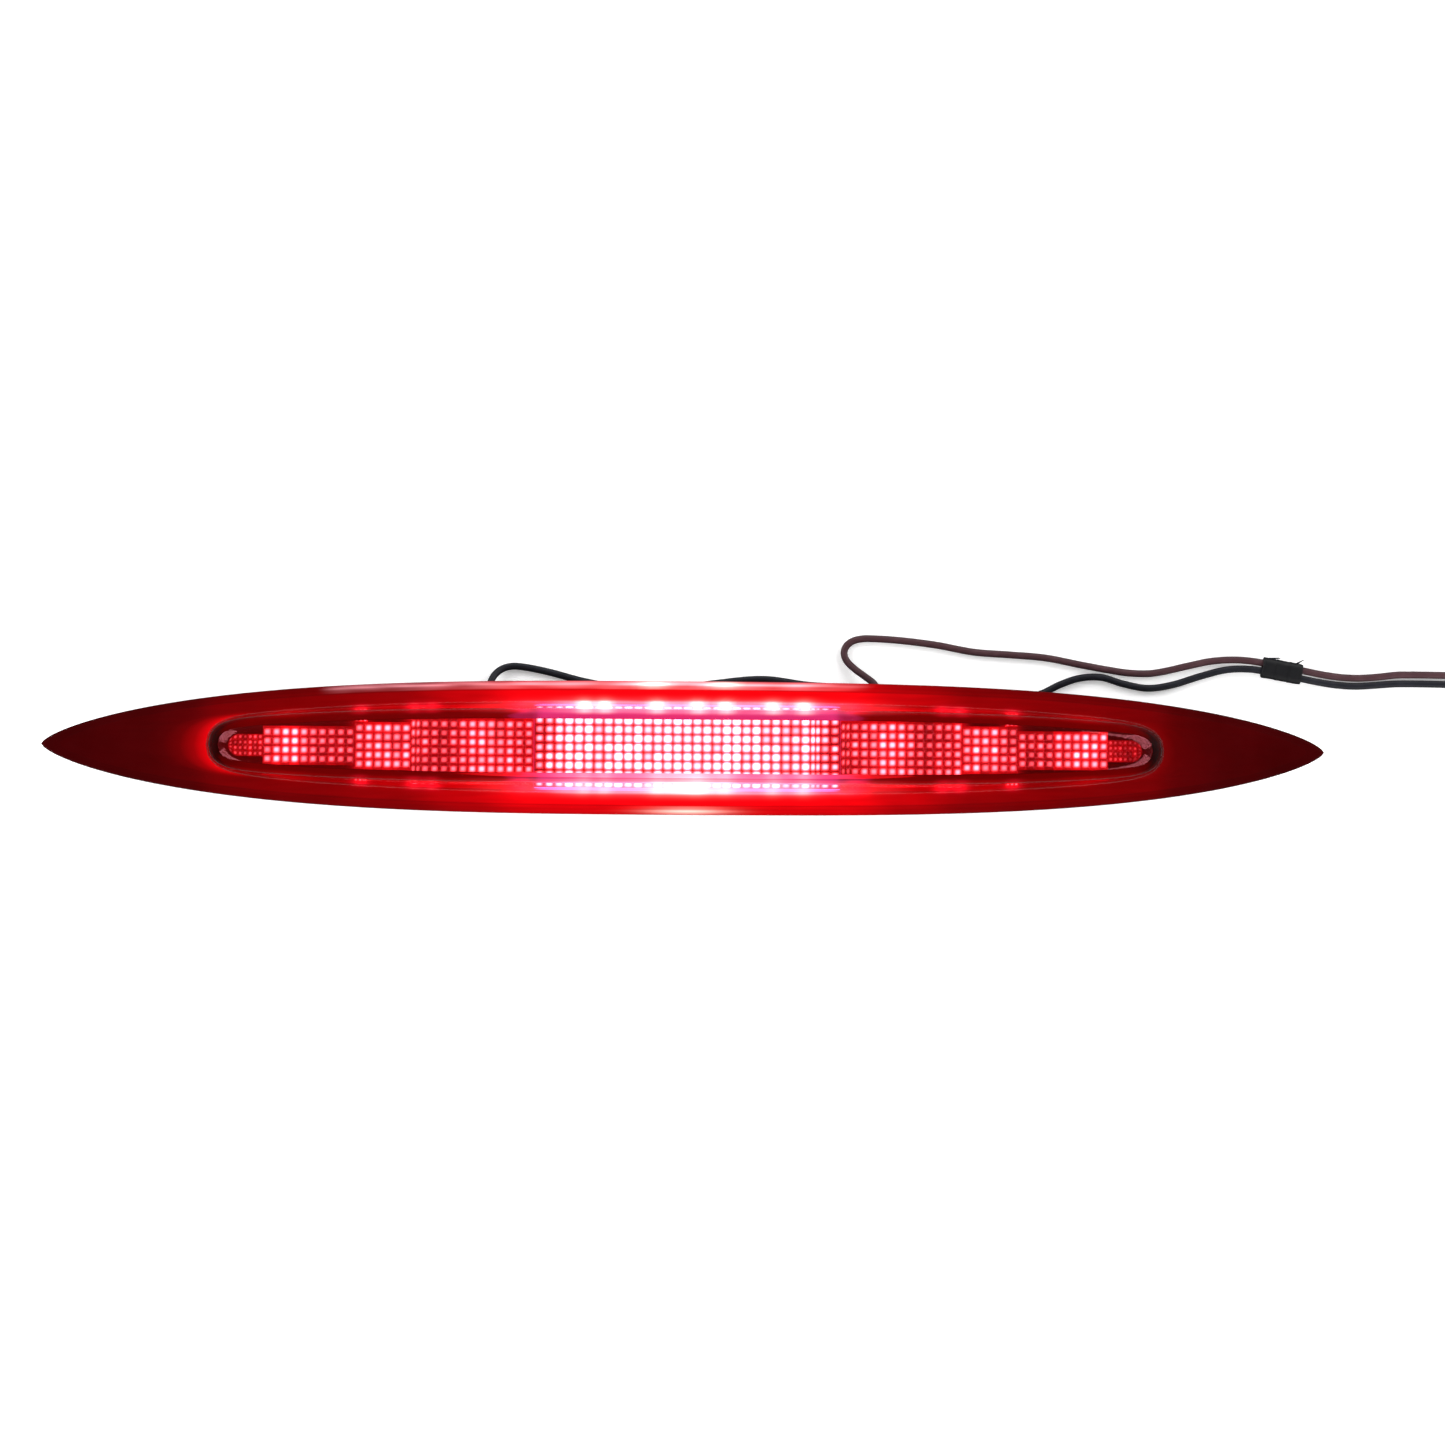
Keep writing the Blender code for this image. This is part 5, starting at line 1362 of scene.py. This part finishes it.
def connector_lock():
    """The sliding lock: a foot under the rails' lips and a narrower top with finger grips."""
    low, high = LOCK_LOW, LOCK_HIGH
    foot_half = RAIL_HALF_SPAN - LOCK_CLEARANCE
    top_half = RAIL_HALF_SPAN - RAIL_LIP - LOCK_CLEARANCE
    foot_top = low.z + RAIL_HEIGHT - RAIL_LIP - 2 * LOCK_CLEARANCE
    section = mirrored([(foot_half, low.z), (foot_half, foot_top), (top_half, foot_top),
                        (top_half, high.z)])
    grip = (high.x - low.x) / (2 * GRIPS + 1)
    starts = [low.x + grip * (1 + 2 * i) for i in range(GRIPS)]
    notches = [((start, CONNECTOR_MIDDLE - GRIP_REACH, high.z - 0.25 * grip),
                (start + grip, CONNECTOR_MIDDLE + GRIP_REACH, high.z + grip)) for start in starts]
    mesh = combined(extruded("slide_lock", section, low.x, high.x), boxes("grips", notches))
    return piece("slide_lock", rounded(mesh, 0.00014), [LOCK_PLASTIC], body=LOCK,
                 stands_for=["connector_lock"])


def wire_seal(colour):
    """A ribbed silicone seal round the lead, in the connector's back."""
    node = f"wire_seal_{colour}"
    low, high, middle = box_and_middle(node)
    rib = (high.y - low.y) / 2
    bore = WIRE_DIAMETER / 2 + 0.00010
    waist = (rib + bore) / 2
    length = high.x - low.x
    pitch = length / SEAL_BANDS
    outer = [(bore, length)]
    for i in range(SEAL_BANDS):
        radius = rib if i % 2 == 0 else waist
        outer += [(radius, length - i * pitch), (radius, length - (i + 1) * pitch)]
    outer.append((bore, 0))
    place = Matrix.Translation((low.x, middle.y, middle.z)) @ ALONG_X
    mesh = turned_mesh(node, round_corners(outer, 0.00022, 3), place, closed=True, steps=40)
    return piece(f"silicone_seal_{colour}", mesh, [SILICONE], stands_for=[node])


def leads_and_connector():
    """Both leads from their grommets to the connector, and what sits on them."""
    wrap = tape_wrap()
    plug = connector_housing()
    lock = connector_lock()
    for colour, route, finish in (("brown", BROWN_ROUTE, BROWN_PVC), ("black", BLACK_ROUTE, BLACK_PVC)):
        made, length = lead(colour, route, finish)
        on_it = [grommet(colour, route), wrap, plug, lock, wire_seal(colour), f"terminal_{colour}"]
        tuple(route[2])


# ---------------------------------------------------------------- floor and light

FLOOR_HALF = 6.0
FLOOR_DROP = 0.0002
SOFTBOX_TURNS = (35, 145, 215, 325)
SOFTBOX_DISTANCE, SOFTBOX_HEIGHT = 1.45, 0.95
SOFTBOX_SIZE, SOFTBOX_WATTS = 1.1, 23.0
# The sky by height: grey at and below the horizon, white just above it, and dark overhead
SKY = ((0.0, 0.03), (0.10, 1.0), (0.85, 0.02))


def floor():
    """A large plain sheet under the lamp, which gives off a little light for an even white ground."""
    bm = bmesh.new()
    bmesh.ops.create_grid(bm, x_segments=8, y_segments=8, size=FLOOR_HALF)
    made = bpy.data.objects.new("floor", mesh_from(bm, "floor"))
    bpy.context.scene.collection.objects.link(made)
    made.location.z = -FLOOR_DROP
    paper = Finish("paper", (0.86, 0.86, 0.86), 0.85, Specular_IOR_Level=0.2,
                   Emission_Color=(1, 1, 1, 1), Emission_Strength=0.35)
    paper.cloud(0.4, (0.85, 0.85, 0.85), (0.88, 0.88, 0.88))
    paper.bump(paper.noise(0.002, 3.0), 0.00003, 0.3)
    made.data.materials.append(paper.material)
    made.visible_glossy = False


def softboxes():
    """Four square lights round the lamp, aimed at its middle."""
    for number, turn in enumerate(SOFTBOX_TURNS, 1):
        angle = math.radians(turn)
        place = Vector((SOFTBOX_DISTANCE * math.cos(angle), SOFTBOX_DISTANCE * math.sin(angle),
                        SOFTBOX_HEIGHT))
        light = bpy.data.lights.new(f"softbox_{number}", "AREA")
        light.shape = "SQUARE"
        light.size = SOFTBOX_SIZE
        light.energy = SOFTBOX_WATTS
        made = bpy.data.objects.new(f"softbox_{number}", light)
        bpy.context.scene.collection.objects.link(made)
        made.location = place
        made.rotation_euler = (-place).to_track_quat("-Z", "Y").to_euler()
        made.visible_glossy = False


def sky():
    world = bpy.data.worlds.new("studio")
    bpy.context.scene.world = world
    world.use_nodes = True
    nodes, links = world.node_tree.nodes, world.node_tree.links
    direction = nodes.new("ShaderNodeTexCoord")
    parts = nodes.new("ShaderNodeSeparateXYZ")
    ramp = nodes.new("ShaderNodeValToRGB")
    links.new(direction.outputs["Generated"], parts.inputs[0])
    links.new(parts.outputs["Z"], ramp.inputs["Fac"])
    ramp.color_ramp.elements.new(0.5)
    for element, (height, grey) in zip(ramp.color_ramp.elements, SKY):
        element.position = height
        element.color = (grey, grey, grey, 1)
    links.new(ramp.outputs["Color"], nodes["Background"].inputs["Color"])
    nodes["Background"].inputs["Strength"].default_value = 1.0


# ---------------------------------------------------------------- the whole scene

leads_and_connector()
outer_lens()
side_optic("left_pillow_optic", "left_optic", -1)
centre_optic()
side_optic("right_pillow_optic", "right_optic", 1)
reflector_tray()
keep_small_parts()
board_screws()
rear_housing()
foam_gasket()
seal_bead()
threaded_insert("left")
threaded_insert("right")
breather_vent()
floor()
softboxes()
sky()
bpy.context.scene.view_settings.view_transform = "Standard"

bpy.context.view_layer.update()
